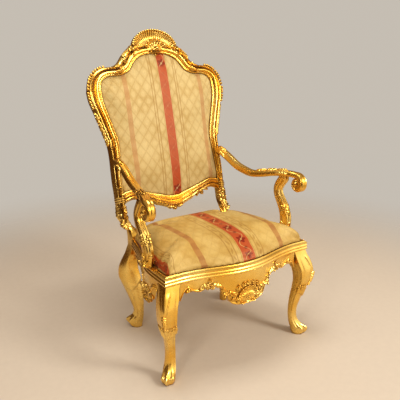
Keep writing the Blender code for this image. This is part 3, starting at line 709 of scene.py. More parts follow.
def frontLeg(side):
    corner = (legSizes["frontX"], legSizes["frontY"])
    block = legSizes["frontBlock"]
    rows = list(smooth(legRows(frontLegRows, block) + [blockRows(block)[0]], 6))
    legEnd = len(rows)
    rings = legRings(corner, radians(-45), rows + blockRows(block)[1:])
    turn = legTurns()
    share = rings[:, :1, 2] / legHeight
    relief = toeRelief(turn, share) + edgeRelief(turn, share, 0.10, 0.93)
    relief = relief + 0.0022 * bump(turn, 0, 0.09) * bump(share, 0.33, 0.20)
    relief = relief + shieldRelief(turn, share)
    relief[legEnd:] = 0
    body = loft(raised(rings, relief))
    tree = BVHTree.FromBMesh(body)

    def onLeg(share, degrees):
        # A place on the leg and the way out of it, turned from its outer corner
        row = rings[int(np.argmin(abs(rings[:, 0, 2] - share * legHeight)))]
        spot = row[int(round(degrees / 360 * legSizes["corners"])) % legSizes["corners"]]
        out = Vector(spot - row.mean(axis=0))
        return Vector(spot), Vector((out.x, out.y, 0)).normalized()

    # Husks that hang down the knee from the shield's point, a collar of leaves and beads below
    for number in range(5):
        size = 1 - 0.08 * number
        spot, out = onLeg(0.760 - 0.034 * number, 0)
        leaf(body, tree, spot, -up, out, 0.021 * size, 0.025 * size, 0.0066, lobes=2, curl=0.003)
    for degrees, length in ((-100, 0.036), (-66, 0.042), (-33, 0.048), (0, 0.056), (33, 0.048),
                            (66, 0.042), (100, 0.036)):
        spot, out = onLeg(0.590, degrees)
        leaf(body, tree, spot, -up, out, length, 0.023, 0.0042, lobes=2, curl=0.004, deep=0.005)
    for degrees in range(-98, 99, 14):
        spot, out = onLeg(0.596, degrees)
        bead(body, spot + out * 0.0012, 0.0036)
    near, (x, y) = legSizes["filletIn"], corner
    fillet(body, [(x - block, y + near), (x - 2 * near, y + near), (x - near, y + 2 * near),
                  (x - near, y + block)])
    finishGilded(sideName("front_leg", side), body, side)


frontLeg(-1)
frontLeg(1)
print("front legs are carved")


# Rails round the seat
railSizes = {"thick": 0.045, "apron": 0.022, "bead": 0.006, "bow": 0.048, "sideBow": 0.014,
             "frontRest": 0.363, "frontDrop": 0.261, "sideRest": 0.372, "sideDrop": 0.268,
             "rearLow": 0.365, "rearThick": 0.036, "rearInset": 0.004}
frontApronShape = (
    (0.00, 1.00), (0.12, 0.99), (0.20, 0.95), (0.27, 0.86), (0.31, 0.68), (0.345, 0.48),
    (0.39, 0.27), (0.46, 0.09), (0.53, 0.05), (0.61, 0.07), (0.70, 0.19), (0.79, 0.15),
    (0.88, -0.02), (0.94, 0.10), (1.00, 0.40),
)
sideApronShape = (
    (0.00, 0.45), (0.04, 0.18), (0.10, 0.12), (0.16, 0.45), (0.22, 0.86), (0.32, 1.00),
    (0.42, 0.86), (0.48, 0.42), (0.54, 0.12), (0.66, 0.00), (0.88, 0.06), (1.00, 0.35),
)


# Leaves of the rails; on the front rail they are placed from the apron's lower edge up
frontRailLeaves = (
    (0.158, 0.007, -1.0, -0.10, 0.050, 0.024, 0.0055, 0.3),
    (0.156, 0.007, 1.0, -0.05, 0.050, 0.024, 0.0055, -0.3),
    (0.157, 0.007, -0.5, -0.9, 0.022, 0.020, 0.0055, 0.0),
    (0.164, 0.006, 0.4, -1.0, 0.018, 0.018, 0.0055, 0.0),
    (0.157, 0.012, 0.2, 1.0, 0.016, 0.022, 0.0055, 0.0),
    (0.222, 0.007, 1.0, 0.1, 0.036, 0.018, 0.0055, -0.2),
    (0.112, 0.008, -0.5, -1.0, 0.044, 0.022, 0.0055, 0.3),
)
cartoucheLeaves = (
    (0.050, 0.026, 0.35, 1.0, 0.042, 0.024, 0.0055, -0.5),
    (0.056, 0.038, 0.9, 0.8, 0.040, 0.024, 0.0055, -0.4),
    (0.038, 0.048, 0.5, 1.0, 0.026, 0.020, 0.0055, 0.5),
    (0.018, 0.060, 0.4, 1.0, 0.020, 0.018, 0.0055, 0.4),
    (0.044, 0.020, 0.8, 0.7, 0.026, 0.018, 0.0055, -0.5),
    (0.012, 0.008, 1.0, -0.1, 0.026, 0.014, 0.0055, 0.3),
)


def railSection(low):
    # Stand-out and height round a rail, from its inner top edge: ridges, satin apron, lower bead
    ridges = [tuple(level) for level in ridgeLevels()]
    under = ridges[-1][1]
    section = [(-railSizes["thick"], seatHeight), (-0.012, seatHeight)] + ridges
    for step in range(1, 7):
        share = step / 7
        section.append((ridges[-1][0] * (1 - share) - 0.0022 * sin(pi * share),
                        mix(under, low + 2 * railSizes["bead"], share)))
    for step in range(9):
        turn = pi * step / 8
        section.append((0.55 * railSizes["bead"] * sin(turn) - 0.0005,
                        low + railSizes["bead"] * (0.75 + 0.75 * cos(turn))))
    section += [(-railSizes["apron"], low), (-railSizes["apron"], under - 0.0042),
                (-railSizes["thick"], under - 0.006)]
    return section


def railRings(stations, outward):
    return [[(x + outward[0] * stand, y + outward[1] * stand, height)
             for stand, height in railSection(low)] for x, y, low in stations]


def frontEdge(x):
    share = min(abs(x) / (legSizes["frontX"] - legSizes["frontBlock"]), 1)
    return legSizes["frontY"] - railSizes["bow"] * (1 + cos(pi * share)) / 2


def sideEdge(share):
    x = mix(legSizes["frontX"], legSizes["rearX"], share)
    x += railSizes["sideBow"] * sin(pi * max(share, 0) ** 0.6) ** 2
    front = legSizes["frontY"] + legSizes["frontBlock"]
    return x, mix(front, legSizes["rearY"] - legSizes["rearBlock"], share)


def frontRail():
    half = legSizes["frontX"] - legSizes["frontBlock"] - gap
    stations = []
    for share, drop in smooth(frontApronShape, 6):
        x = min(share, 1) * half
        low = mix(railSizes["frontRest"], railSizes["frontDrop"], drop)
        stations.append((x, frontEdge(x), low))
    stations = bothSides(stations)
    body = loft(railRings(stations, forward))
    tree = BVHTree.FromBMesh(body)
    cartouche(body, tree, Vector((0, frontEdge(0), 0)), rightward, forward, railSizes["frontDrop"],
              1.15)

    def place(x, above):
        return Vector((x, frontEdge(0), readAt(abs(x), stations, 0, 2) + above))

    for way in (-1, 1):
        leaves(body, tree, frontRailLeaves, place, rightward, up, forward, way, curl=0.002)
    fillet(body, [(x, y + legSizes["filletIn"]) for x, y, height in stations])
    finishGilded("front_seat_rail", body)


def cartouche(body, tree, middle, right, out, low, size):
    # Shell in a C-scroll frame with leaves, on the drop of an apron
    def spot(x, z):
        return Vector((middle.x, middle.y, low)) + right * (x * size) + up * (z * size)

    base = drape([spot(0, 0.028)], tree, out, [0.003])[0]
    shell(body, base, right, up, out, (0.010 * size, 0.042 * size), (0.006 * size, 0.035 * size),
          11, radians(112), 0.007 * size, 0.0034 * size, lip=0.003, start=0.15, steps=6,
          knob=0.0034 * size)
    for way in (-1, 1):
        # A C-scroll at each side that opens upward, and the leaves that break out of it
        tail = [spot(way * 0.006, 0.006), spot(way * 0.022, 0.004), spot(way * 0.038, 0.010)]
        scroll(body, tree, spot(way * 0.044, 0.022), -up, out, 0.010 * size, 1.0, 0.0040 * size,
               tail=tail, flip=-way)
        leaves(body, tree, cartoucheLeaves, spot, right, up, out, way, size, curl=0.002)
    leaf(body, tree, spot(0, 0.062), up, out, 0.020 * size, 0.022 * size, 0.006, lobes=2,
         curl=0.002)
    leaf(body, tree, spot(0, 0.026), -up, out, 0.026 * size, 0.026 * size, 0.005, lobes=2)


def sideRail(side):
    stations = []
    for share, drop in smooth(sideApronShape, 6):
        share = min(max(share, 0), 1)
        x, y = sideEdge(share)
        y = min(max(y, sideEdge(0)[1] + gap), sideEdge(1)[1] - gap)
        stations.append((x, y, mix(railSizes["sideRest"], railSizes["sideDrop"], drop)))
    body = loft(railRings(stations, rightward))
    tree = BVHTree.FromBMesh(body)
    cartouche(body, tree, Vector((*sideEdge(0.32), 0)), -forward, rightward, railSizes["sideDrop"],
              0.85)
    for share, height, along, length in (
            (0.57, 0.376, (0, 1, -0.1), 0.055), (0.56, 0.376, (0, -1, -0.3), 0.045),
            (0.56, 0.380, (0, -0.3, 1), 0.024), (0.07, 0.366, (0, 1, -0.5), 0.035)):
        x, y = sideEdge(share)
        leaf(body, tree, (x, y, height), along, rightward, length, 0.024, 0.005, curl=0.002)
    fillet(body, [(x - legSizes["filletIn"], y) for x, y, height in stations])
    finishGilded(sideName("side_seat_rail", side), body, side)


def rearRail():
    half = legSizes["rearX"] - legSizes["rearBlock"] - gap
    back = legSizes["rearY"] - railSizes["rearInset"]
    front = back - railSizes["rearThick"]
    body = bmesh.new()
    bmesh.ops.create_cube(body, size=1)
    bmesh.ops.scale(body, vec=(2 * half, back - front, seatHeight - railSizes["rearLow"]),
                    verts=body.verts)
    bmesh.ops.translate(body, verts=body.verts,
                        vec=(0, (back + front) / 2, (seatHeight + railSizes["rearLow"]) / 2))
    bmesh.ops.bevel(body, geom=body.edges, affect="EDGES", offset=0.0018, segments=3, profile=0.5,
                    material=-1)
    finishPiece("rear_seat_rail_planed", body, gold, "rear_seat_rail")


frontRail()
sideRail(-1)
sideRail(1)
rearRail()
print("seat rails are carved")


# Back frame, drawn on its raked front surface
backSizes = {"rake": radians(13.7), "footY": 0.197, "footZ": 0.499, "thick": 0.036, "front": 0.013,
             "turnTop": 0.510, "shoulderZ": 1.030, "shoulderX": 0.338, "archTop": 1.226,
             "shellTop": 1.283, "shellHalf": 0.114, "flutes": 25, "bead": 0.0066,
             "beadPitch": 0.0128}
backOut = Vector((0, -cos(backSizes["rake"]), sin(backSizes["rake"])))
backUp = Vector((0, sin(backSizes["rake"]), cos(backSizes["rake"])))


def onBack(x, z, depth=0.0):
    y = backSizes["footY"] + (z - backSizes["footZ"]) * tan(backSizes["rake"])
    return Vector((x, y, z)) + backOut * depth


frameSection = [(share, depth * backSizes["thick"]) for share, depth in (
    (0.95, -0.92), (0.50, -1.00), (0.10, -0.97), (0.00, -0.83))]
frameSection += [(share, depth * backSizes["front"]) for share, depth in (
    (0.00, -0.15), (0.08, 0.31), (0.17, 0.08), (0.32, 1.00), (0.48, 0.92), (0.62, -0.31),
    (0.80, 0.54), (1.00, -0.38))]


def frameRing(innerX, innerZ, outerX, outerZ):
    return [onBack(mix(innerX, outerX, share), mix(innerZ, outerZ, share), depth)
            for share, depth in frameSection]


# Inner edge across and up, outer edge across and up, as shares of the shoulder and the arch
crestRows = (
    (0.000, 0.776, 0.000, 1.000), (0.101, 0.765, 0.118, 0.990), (0.180, 0.740, 0.231, 0.959),
    (0.281, 0.663, 0.367, 0.898), (0.352, 0.541, 0.467, 0.750), (0.414, 0.408, 0.550, 0.582),
    (0.518, 0.327, 0.639, 0.510), (0.607, 0.311, 0.716, 0.495), (0.695, 0.301, 0.805, 0.469),
    (0.775, 0.245, 0.891, 0.388), (0.817, 0.143, 0.962, 0.240), (0.828, 0.000, 1.000, 0.000),
)
# Share of the way from the foot of the back to the shoulder, inner edge, outer edge
postRows = (
    (-0.028, 0.722, 0.840), (0.030, 0.726, 0.831), (0.087, 0.726, 0.828),
    (0.143, 0.726, 0.828), (0.209, 0.726, 0.828), (0.284, 0.728, 0.831),
    (0.379, 0.719, 0.828), (0.473, 0.704, 0.822), (0.548, 0.692, 0.825),
    (0.623, 0.698, 0.843), (0.699, 0.728, 0.879), (0.774, 0.760, 0.911),
    (0.849, 0.793, 0.950), (0.925, 0.820, 0.988), (1.000, 0.828, 1.000),
)
lowerRailRows = (
    (0.00, 0.119, 0.009), (0.11, 0.122, 0.015), (0.21, 0.134, 0.032),
    (0.30, 0.147, 0.047), (0.38, 0.156, 0.058), (0.47, 0.168, 0.083),
    (0.58, 0.181, 0.102), (0.72, 0.202, 0.122), (0.83, 0.213, 0.132),
    (0.93, 0.207, 0.122), (1.00, 0.198, 0.107),
)


# Share of the rail's height from its top, depth as a share of its thickness
lowerRailSection = (
    (0.00, -0.94), (0.00, -0.45), (0.00, 0.00), (0.10, 0.14), (0.24, 0.00), (0.38, 0.33),
    (0.54, 0.06), (0.70, 0.33), (0.88, 0.06), (1.00, -0.17), (0.97, -0.55), (0.94, -0.94),
)
# Leaves of the lower rail, from its own lower edge up
lowerRailLeaves = (
    (0.006, 0.006, 1.0, 0.0, 0.036, 0.020, 0.006, 0.2),
    (0.152, 0.010, 1.0, 0.1, 0.036, 0.018, 0.006, -0.3),
    (0.150, 0.010, -1.0, -0.5, 0.042, 0.020, 0.006, 0.3),
    (0.152, 0.008, 0.1, -1.0, 0.024, 0.022, 0.006, 0.0),
)


def backLevel(share):
    return mix(backSizes["footZ"], backSizes["shoulderZ"], share)


def crestLevel(share):
    return mix(backSizes["shoulderZ"], backSizes["archTop"], share)


shoulder = backSizes["shoulderX"]
crestEdges = [(inner * shoulder, crestLevel(low), outer * shoulder, crestLevel(high))
              for inner, low, outer, high in crestRows]
postEdges = [(backLevel(rise), a * shoulder, b * shoulder) for rise, a, b in postRows]


def edgeBeads(body, edge, side=1):
    # A string of beads along an outer edge, whose rows are across and up
    spots = [onBack(side * x * 1.006, z, -0.001) for x, z in edge]
    spots = [Vector(spot) for spot in smooth(spots, 12)]
    gone = 0.0
    for here, there in zip(spots, spots[1:]):
        gone += (there - here).length
        if gone >= backSizes["beadPitch"]:
            gone -= backSizes["beadPitch"]
            bead(body, there, backSizes["bead"])


# Rolled leaves along the arch's edge from under the shell, round a C-scroll
archLeaves = (
    (0.082, 1.217, 1.0, -0.42, 0.060, 0.028, 0.010, -0.10),
    (0.070, 1.200, 1.0, -0.15, 0.056, 0.022, 0.007, -0.45),
    (0.140, 1.184, 0.7, -1.0, 0.050, 0.024, 0.007, -0.25),
    (0.184, 1.144, 0.5, -1.0, 0.036, 0.020, 0.006, 0.6),
)
# Leaves at the ear's inner corner, and where its string of beads begins
earLeaves = (
    (0.190, 1.116, -0.8, -1.0, 0.030, 0.024, 0.0055, 0),
    (0.194, 1.112, 0.4, -1.0, 0.024, 0.020, 0.0055, 0),
    (0.186, 1.118, -1.0, 0.4, 0.026, 0.020, 0.0055, 0),
    (0.216, 1.122, -1.0, 0.12, 0.034, 0.018, 0.0055, 0),
    (0.214, 1.122, 1.0, -0.1, 0.030, 0.016, 0.0055, 0),
)


def crestRail():
    right = finer([frameRing(*row) for row in crestEdges], 7, 4)
    right[-1][:, 2] += gap
    left = right[:0:-1] * np.array([-1, 1, 1])
    body = loft(np.concatenate([left, right]))
    tree = BVHTree.FromBMesh(body)
    baseZ = backSizes["archTop"] - 0.39 * (backSizes["shellTop"] - backSizes["archTop"])
    rise = (backSizes["shellTop"] - baseZ) / cos(backSizes["rake"])
    half = backSizes["shellHalf"]
    shell(body, onBack(0, baseZ, 0.004), rightward, backUp, backOut, (0.4 * half, half),
          (0.12 * rise, rise), backSizes["flutes"], radians(82), 0.013, 0.0060, lip=0.005,
          start=0.40, knob=0.0062)
    shell(body, onBack(0, baseZ - 0.004, 0.014), rightward, backUp, backOut, (0.010, 0.050),
          (0.006, 0.044), 7, radians(86), 0.010, 0.0056, lip=0.005, start=0.12, steps=10,
          knob=0.0072)
    bead(body, onBack(0, baseZ - 0.008, 0.026), 0.009, 0.9)
    for tilt, length in ((0, 0.034), (-0.9, 0.030), (0.9, 0.030), (-2.2, 0.030), (2.2, 0.030)):
        leaf(body, tree, onBack(0, 1.200, 0.012), -backUp + rightward * tilt, backOut, length,
             0.020, 0.007, lobes=2, curl=0.003)
    for way in (-1, 1):
        leaves(body, tree, archLeaves, onBack, rightward, backUp, backOut, way, curl=0.004,
               deep=0.008)
        tail = [onBack(way * x, z) for x, z in ((0.112, 1.204), (0.132, 1.196), (0.147, 1.186))]
        scroll(body, tree, onBack(way * 0.150, 1.168), backUp + rightward * way * 0.8, backOut,
               0.012, 1.2, 0.0056, tail=tail, flip=-way)
        leaves(body, tree, earLeaves, onBack, rightward, backUp, backOut, way, lobes=2, curl=0.002)
        edgeBeads(body, [(row[2], row[3] + 0.002) for row in crestEdges[7:]], way)
    finishGilded("crest_rail", body)


crestRail()
print("crest is carved")


# Course of the moulded band round the upright, across and out
bandCourse = ((0.246, -0.024), (0.245, -0.006), (0.248, 0.006), (0.256, 0.013), (0.266, 0.010),
              (0.274, 0.007), (0.280, -0.004), (0.279, -0.024))
acanthus = (
    (0.262, 0.566, 0.0, -1.0, 0.098, 0.046, 0.0075, 0.0),
    (0.253, 0.560, -0.12, -1.0, 0.066, 0.026, 0.0075, 0.35),
    (0.272, 0.560, 0.12, -1.0, 0.066, 0.026, 0.0075, -0.35),
    (0.262, 0.500, 0.0, -1.0, 0.050, 0.050, 0.0075, 0.0),
    (0.262, 0.590, 0.0, 1.0, 0.044, 0.030, 0.0075, 0.0),
)


def rearPost(side):
    block = legSizes["rearBlock"]
    corner = (legSizes["rearX"] - 0.34 * block, legSizes["rearY"] - 0.26 * block)
    rings = legRings(corner, radians(45), smooth(legRows(rearLegRows, block), 10))
    turn = legTurns()
    share = rings[:, :1, 2] / legHeight
    relief = edgeRelief(turn, share, 0.10, 0.44)
    relief = relief + 0.0022 * bump(turn, 0, 0.10) * bump(share, 0.30, 0.18)
    # A smooth shield above, its lower edge cut to a V
    shield = onset(share - 0.08 * abs(abs(turn) - pi / 2), 0.46, 0.003)
    relief = relief + 0.0040 * shield * (1 - np.clip((share - 0.55) / 0.35, 0, 1))
    relief = relief + toeRelief(turn, share)
    rings = raised(rings, relief)
    # The leg runs into the block, and the block turns into the back's frame
    corner = (legSizes["rearX"], legSizes["rearY"])
    blocks = [legRings(corner, radians(45),
                       [(height, 0, -block * sqrt(2), block * sqrt(2), 1.0)])[0]
              for height in (legHeight, mix(legHeight, seatHeight, 0.5), seatHeight)]
    frames = finer([frameRing(inner, height, outer, height) for height, inner, outer in postEdges],
                   6, legSizes["corners"] // len(frameSection))
    frames[-1][:, 2] -= gap
    frames = frames[frames[:, :, 2].mean(axis=1) > backSizes["turnTop"]]
    first = frames[0]
    # Frame sections start at their back, sections of the leg at its outer corner
    start = int(np.argmin(np.linalg.norm(first - (blocks[-1][0] + [0, 0.03, 0.05]), axis=1)))
    frames = np.roll(frames, -start, axis=1)
    around = frames[0] - frames[0].mean(0)
    if np.cross(around, np.roll(around, -1, 0)).sum(0)[2] < 0:
        frames = np.roll(frames[:, ::-1], 1, axis=1)
    turnIn = []
    join = frames[0][:, 2].mean()
    for step in range(1, 14):
        height = mix(seatHeight, join, step / 14)
        frame = frames[0] + [0, (height - join) * tan(backSizes["rake"]), height - join]
        turnIn.append(mix(blocks[-1] + [0, 0, height - seatHeight], frame, ease(step / 14) ** 0.8))
    body = loft(np.concatenate([rings, blocks, turnIn, frames]))
    tree = BVHTree.FromBMesh(body)
    # A moulded band on the upright below the back, acanthus that hangs from it to the seat
    for height, thick in ((0.586, 0.0034), (0.577, 0.0046), (0.568, 0.0034)):
        spots = [onBack(x, height, depth) for x, depth in bandCourse]
        rope(body, spots, [thick] * len(spots))
    leaves(body, tree, acanthus, lambda x, z: onBack(x, z, 0.004), rightward, backUp, backOut,
           lobes=4, curl=0.005, deep=0.006)
    for z, length in ((0.560, 0.060), (0.515, 0.055)):
        leaf(body, tree, onBack(0.284, z, -0.014), -backUp, rightward, length, 0.032, 0.006,
             lobes=3, curl=0.004)
    # Leaves along the outer edge under the shoulder
    outer = Vector((1, -0.5, 0)).normalized()
    for z, length in ((0.948, 0.050), (0.918, 0.056), (0.886, 0.056), (0.852, 0.050)):
        edge = readAt(z, postEdges, 0, 2)
        leaf(body, tree, onBack(edge, z, -0.006), -backUp, outer, length, 0.030, 0.0065, lobes=3,
             curl=0.004, deep=0.006)
    edgeBeads(body, [(row[2], row[0]) for row in postEdges[12:]])
    # Small leaf where the arm springs
    leaf(body, tree, onBack(0.262, 0.790), backUp, backOut, 0.050, 0.022, 0.005, curl=0.003)
    finishGilded(sideName("rear_post", side), body, side)


rearPost(-1)
rearPost(1)
print("posts are carved")


def lowerRailHalf():
    rows = [(share, backLevel(upper), backLevel(lower)) for share, upper, lower in lowerRailRows]
    half = readAt(rows[-1][1], postEdges, 0, 1) - 2 * gap
    return [(share * half, upper, lower) for share, upper, lower in rows]


def lowerBackRail():
    section = smooth(lowerRailSection, 4)
    rows = bothSides(smooth(lowerRailHalf(), 5))
    rings = [[onBack(x, mix(upper, lower, share), depth * backSizes["thick"])
              for share, depth in section] for x, upper, lower in rows]
    body = loft(rings)
    tree = BVHTree.FromBMesh(body)

    def place(x, above):
        return onBack(x, readAt(abs(x), rows, 0, 2) + above)

    for way in (-1, 1):
        leaves(body, tree, lowerRailLeaves, place, rightward, backUp, backOut, way, curl=0.002,
               deep=0.006)
    leaf(body, tree, onBack(0, readAt(0, rows, 0, 2) + 0.012), -backUp, backOut, 0.022, 0.024,
         0.006, lobes=2, deep=0.006)
    finishGilded("lower_back_rail", body)


lowerBackRail()
print("back frame is carved")


# Arms: a smooth centre line that ends in a scroll
armSizes = {"wide": 0.036, "thick": 0.034, "height": 0.690, "halfSpan": 0.357, "scrollY": -0.213,
            "scroll": 0.034, "eye": 0.010, "turns": 1.15, "web": 0.0125, "corners": 44,
            "supportX": 0.336, "supportY": -0.172, "supportWide": 0.033}
# Share of the way to the scroll, x inside the scroll's, height over it
armShape = (
    (0.00, -0.266, 0.185), (0.08, -0.263, 0.165), (0.20, -0.258, 0.085),
    (0.32, -0.246, -0.012), (0.43, -0.230, -0.062), (0.53, -0.210, -0.085),
    (0.64, -0.157, -0.062), (0.73, -0.112, -0.027), (0.82, -0.073, -0.004),
    (0.91, -0.036, 0.008), (0.96, -0.017, 0.004),
)


def scrollSpot(share):
    turn = pi / 2 + 2 * pi * armSizes["turns"] * share
    reach = mix(armSizes["scroll"], armSizes["eye"], share ** 1.4)
    height = armSizes["height"] - armSizes["scroll"] - 0.001
    return Vector((armSizes["halfSpan"], armSizes["scrollY"] + reach * cos(turn),
                   height + reach * sin(turn)))


def armCourse():
    # Coarse rows along the arm: place, direction across, width, thickness
    tall = armSizes["height"] - seatHeight
    start = (onBack(0, armSizes["height"] + armShape[0][2] * tall).y
             - (backSizes["front"] + 2 * gap) / cos(backSizes["rake"]))
    path = [Vector((armSizes["halfSpan"] * (1 + inward), mix(start, armSizes["scrollY"], share),
                    armSizes["height"] + rise * tall)) for share, inward, rise in armShape]
    path += [scrollSpot(step / 13) for step in range(14)]
    level = len(armShape)
    rows = []
    for i, spot in enumerate(path):
        share = max(i - level, 0) / (len(path) - level - 1)
        ahead = path[min(i + 1, level)] - path[min(i, level) - 1 if i else 0]
        across = Vector((ahead.y, -ahead.x, 0)).normalized() if i < level else Vector((-1, 0, 0))
        taper = mix(1, 0.7, ease(min(i / level, 1))) * mix(1, 0.3, share ** 0.6)
        rows.append((*spot, *(-across), armSizes["wide"] * mix(1, 0.9, share),
                     armSizes["thick"] * taper))
    return rows


def sweep(rows, corners, power, relief=None):
    # A rounded section carried along; rows are place, direction across, width, thickness
    spots = rows[:, :3]
    ahead = np.gradient(spots, axis=0)
    side = rows[:, 3:6] / np.linalg.norm(rows[:, 3:6], axis=1, keepdims=True)
    rise = np.cross(ahead, side)
    rise /= np.linalg.norm(rise, axis=1, keepdims=True)
    turn = 2 * pi * (np.arange(corners) + 0.5) / corners
    size = roundness(turn, power)
    wide = rows[:, 6:7] / 2 * size * np.cos(turn)
    thick = rows[:, 7:8] / 2 * size * np.sin(turn)
    rings = spots[:, None] + side[:, None] * wide[..., None] + rise[:, None] * thick[..., None]
    if relief:
        rings = raised(rings, relief(turn[None, :], np.linspace(0, 1, len(rows))[:, None]))
    return rings


def armMoulding(turn, share):
    # A flat middle band between two beads along the top, a hollow on each side
    fade = np.clip(share * 30, 0, 1) * np.clip((1 - share) * 12, 0, 1)
    beads = bump(turn, radians(52), 0.13) + bump(turn, radians(128), 0.13)
    hollow = bump(turn, radians(72), 0.16) + bump(turn, radians(108), 0.16)
    return fade * (0.0014 * beads - 0.0011 * hollow + 0.0012 * bump(turn, radians(90), 0.12))


def arm(side):
    rows = smooth(armCourse(), 5)
    rings = sweep(rows, armSizes["corners"], 2.6, armMoulding)
    rings[0][:, 1] = rows[0][1] + (rings[0][:, 2] - rows[0][2]) * tan(backSizes["rake"])
    body = loft(rings)
    tree = BVHTree.FromBMesh(body)
    eye = bmesh.new()
    bmesh.ops.create_cone(eye, cap_ends=True, segments=32, radius1=armSizes["scroll"] * 0.72,
                          radius2=armSizes["scroll"] * 0.72, depth=2 * armSizes["web"])
    bmesh.ops.rotate(eye, verts=eye.verts, matrix=Matrix.Rotation(pi / 2, 3, "Y"))
    centre = scrollSpot(0) - up * armSizes["scroll"]
    bmesh.ops.translate(eye, verts=eye.verts, vec=centre)
    absorb(body, eye)
    for way in (-1, 1):
        bead(body, centre + rightward * (way * 0.013), 0.0105)
    # Leaves at the back joint, over the elbow and on the scroll
    course = [Vector(row[:3]) for row in rows]
    for at, ahead, length, width, bend in (
            (2, 1, 0.060, 0.028, 0.0), (27, 1, 0.050, 0.024, 0.2), (38, -1, 0.050, 0.026, 0.0),
            (38, 1, 0.050, 0.026, 0.0)):
        along = course[at + 3 * ahead] - course[at]
        leaf(body, tree, course[at] + up * 0.014, along, up, length, width, 0.0060, curl=0.002,
             bend=bend)
    for out in (Vector((1, 0, 0.1)), Vector((-1, 0, 0.1))):
        leaf(body, tree, course[4], course[10] - course[4], out, 0.055, 0.020, 0.004, lobes=4,
             curl=0.002)
        leaf(body, tree, course[46], course[38] - course[46], out, 0.060, 0.018, 0.004, lobes=4,
             curl=0.002)
    finishGilded(sideName("arm", side), body, side)


arm(-1)
arm(1)

# Share of the height, y from its foot, thickness, x from its foot
supportRows = (
    (0.00, 0.049, 1.39, 0.00), (0.12, 0.016, 1.33, 0.00), (0.25, 0.012, 1.58, 0.03),
    (0.36, 0.041, 1.52, 0.06), (0.46, 0.091, 1.39, 0.09), (0.56, 0.165, 1.27, 0.12),
    (0.66, 0.231, 1.15, 0.12), (0.76, 0.251, 1.12, 0.12), (0.86, 0.206, 1.21, 0.12),
    (0.95, 0.140, 1.27, 0.15), (1.00, 0.107, 1.33, 0.15),
)


def armSupport(side):
    base = seatHeight + gap
    top = armSizes["height"] - armSizes["thick"] / 2
    wide = armSizes["supportWide"]
    rows = smooth([(armSizes["supportX"] + x * wide, armSizes["supportY"] + y * (top - base),
                    mix(base, top, share), 1, 0, 0, wide, thick * wide)
                   for share, y, thick, x in supportRows], 7)

    def ridges(turn, share):
        fade = np.clip(share * 14, 0, 1) * np.clip((1 - share) * 14, 0, 1)
        return fade * (0.0013 * np.cos(8 * turn) - 0.0003)

    rings = sweep(rows, 56, 3.0, ridges)
    rings[0][:, 2] = base
    arms = loft(sweep(smooth(armCourse(), 5), armSizes["corners"], 2.6))
    tree = BVHTree.FromBMesh(arms)
    arms.free()
    for spot in rings[-1]:
        hit = tree.ray_cast(Vector((spot[0], spot[1], seatHeight)), up)[0]
        spot[2] = (hit.z if hit else top) + 0.002
    body = loft(rings)
    tree = BVHTree.FromBMesh(body)
    x, y = armSizes["supportX"], armSizes["supportY"]
    for out, back in ((forward, 0), (rightward, 0.01), (-rightward, 0.01)):
        for z, length, width, tilt in ((0.432, 0.052, 0.032, 0.0), (0.505, 0.050, 0.026, 0.1)):
            leaf(body, tree, (x, y + back, z), (0, tilt, 1), out, length, width, 0.0045, lobes=4,
                 curl=0.004)
    # Leaves that spill over the rail at the foot
    for across, tilt in ((-0.010, -0.5), (0.010, 0.5), (0.0, 0.0)):
        leaf(body, tree, Vector((x + across, y - 0.012, 0.462)), (tilt, -0.2, -1), forward, 0.034,
             0.018, 0.004, lobes=3, curl=0.004)
        leaf(body, tree, Vector((x + 0.012, y + 0.012 + across, 0.462)), (0, tilt, -1), rightward,
             0.032, 0.018, 0.004, lobes=3, curl=0.003)
    finishGilded(sideName("arm_support", side), body, side)


armSupport(-1)
armSupport(1)
print("arms are carved")


# Upholstery
padSizes = {"rise": 0.082, "inset": 0.007, "roll": 0.046, "padRise": 0.012, "padSink": 0.005,
            "panel": 0.005, "pitch": 0.012, "voxel": 0.006, "frames": 20, "pressure": 3.0,
            "cap": 0.010, "corner": 0.022, "postAir": 0.006, "supportAir": 0.004,
            "rearEdge": 0.016}
coverSettings = {"quality": 5, "mass": 0.3, "tension_stiffness": 12, "compression_stiffness": 12,
                 "shear_stiffness": 6, "bending_stiffness": 0.6, "use_pressure": True,
                 "uniform_pressure_force": padSizes["pressure"], "vertex_group_mass": "tacked"}


def seatOutline():
    # Right half of the cover's edge at the rails, from the front middle to the rear middle
    inset = padSizes["inset"]
    half = legSizes["frontX"] - legSizes["frontBlock"]
    spots = [(share * half, frontEdge(share * half) + inset)
             for share in (0, 0.2, 0.4, 0.6, 0.8, 1.0)]
    spots.append((legSizes["frontX"] - padSizes["corner"], legSizes["frontY"] + inset))
    spots.append((legSizes["frontX"] - inset - 0.003, legSizes["frontY"] + 0.018))
    supportInner = armSizes["supportX"] - armSizes["supportWide"] / 2 - padSizes["supportAir"]
    for share in (0.04, 0.10, 0.30, 0.36, 0.50, 0.65, 0.80, 0.97):
        x, y = sideEdge(share)
        x -= inset
        if 0.08 < share < 0.32:
            x = min(x, supportInner)
        spots.append((x, y))
    air = legSizes["rearBlock"] + padSizes["postAir"]
    rear = legSizes["rearY"] - padSizes["rearEdge"]
    inside = legSizes["rearX"] - air
    return spots + [(inside, legSizes["rearY"] - air), (inside, rear), (0.0, rear)]


def straightFiner(spots, step):
    # The same polygon with more points on its sides
    found = []
    for here, there in zip(spots, spots[1:] + spots[:1]):
        here, there = Vector(here), Vector(there)
        count = max(int((there - here).length / step), 1)
        found += [here.lerp(there, i / count) for i in range(count)]
    return found


def padRing(right, inset, scale, place):
    # A ring from the right half of an outline, drawn in towards its middle; place sets the level
    middle = (right[0][1] + right[-1][1]) / 2
    loop = right + [(-x, y) for x, y in right[-2:0:-1]]
    ring = []
    for spot in straightFiner(loop, padSizes["pitch"]):
        arm = Vector((spot.x, spot.y - middle))
        arm *= scale * (1 - inset / arm.length)
        ring.append(place(arm.x, arm.y + middle))
    return ring


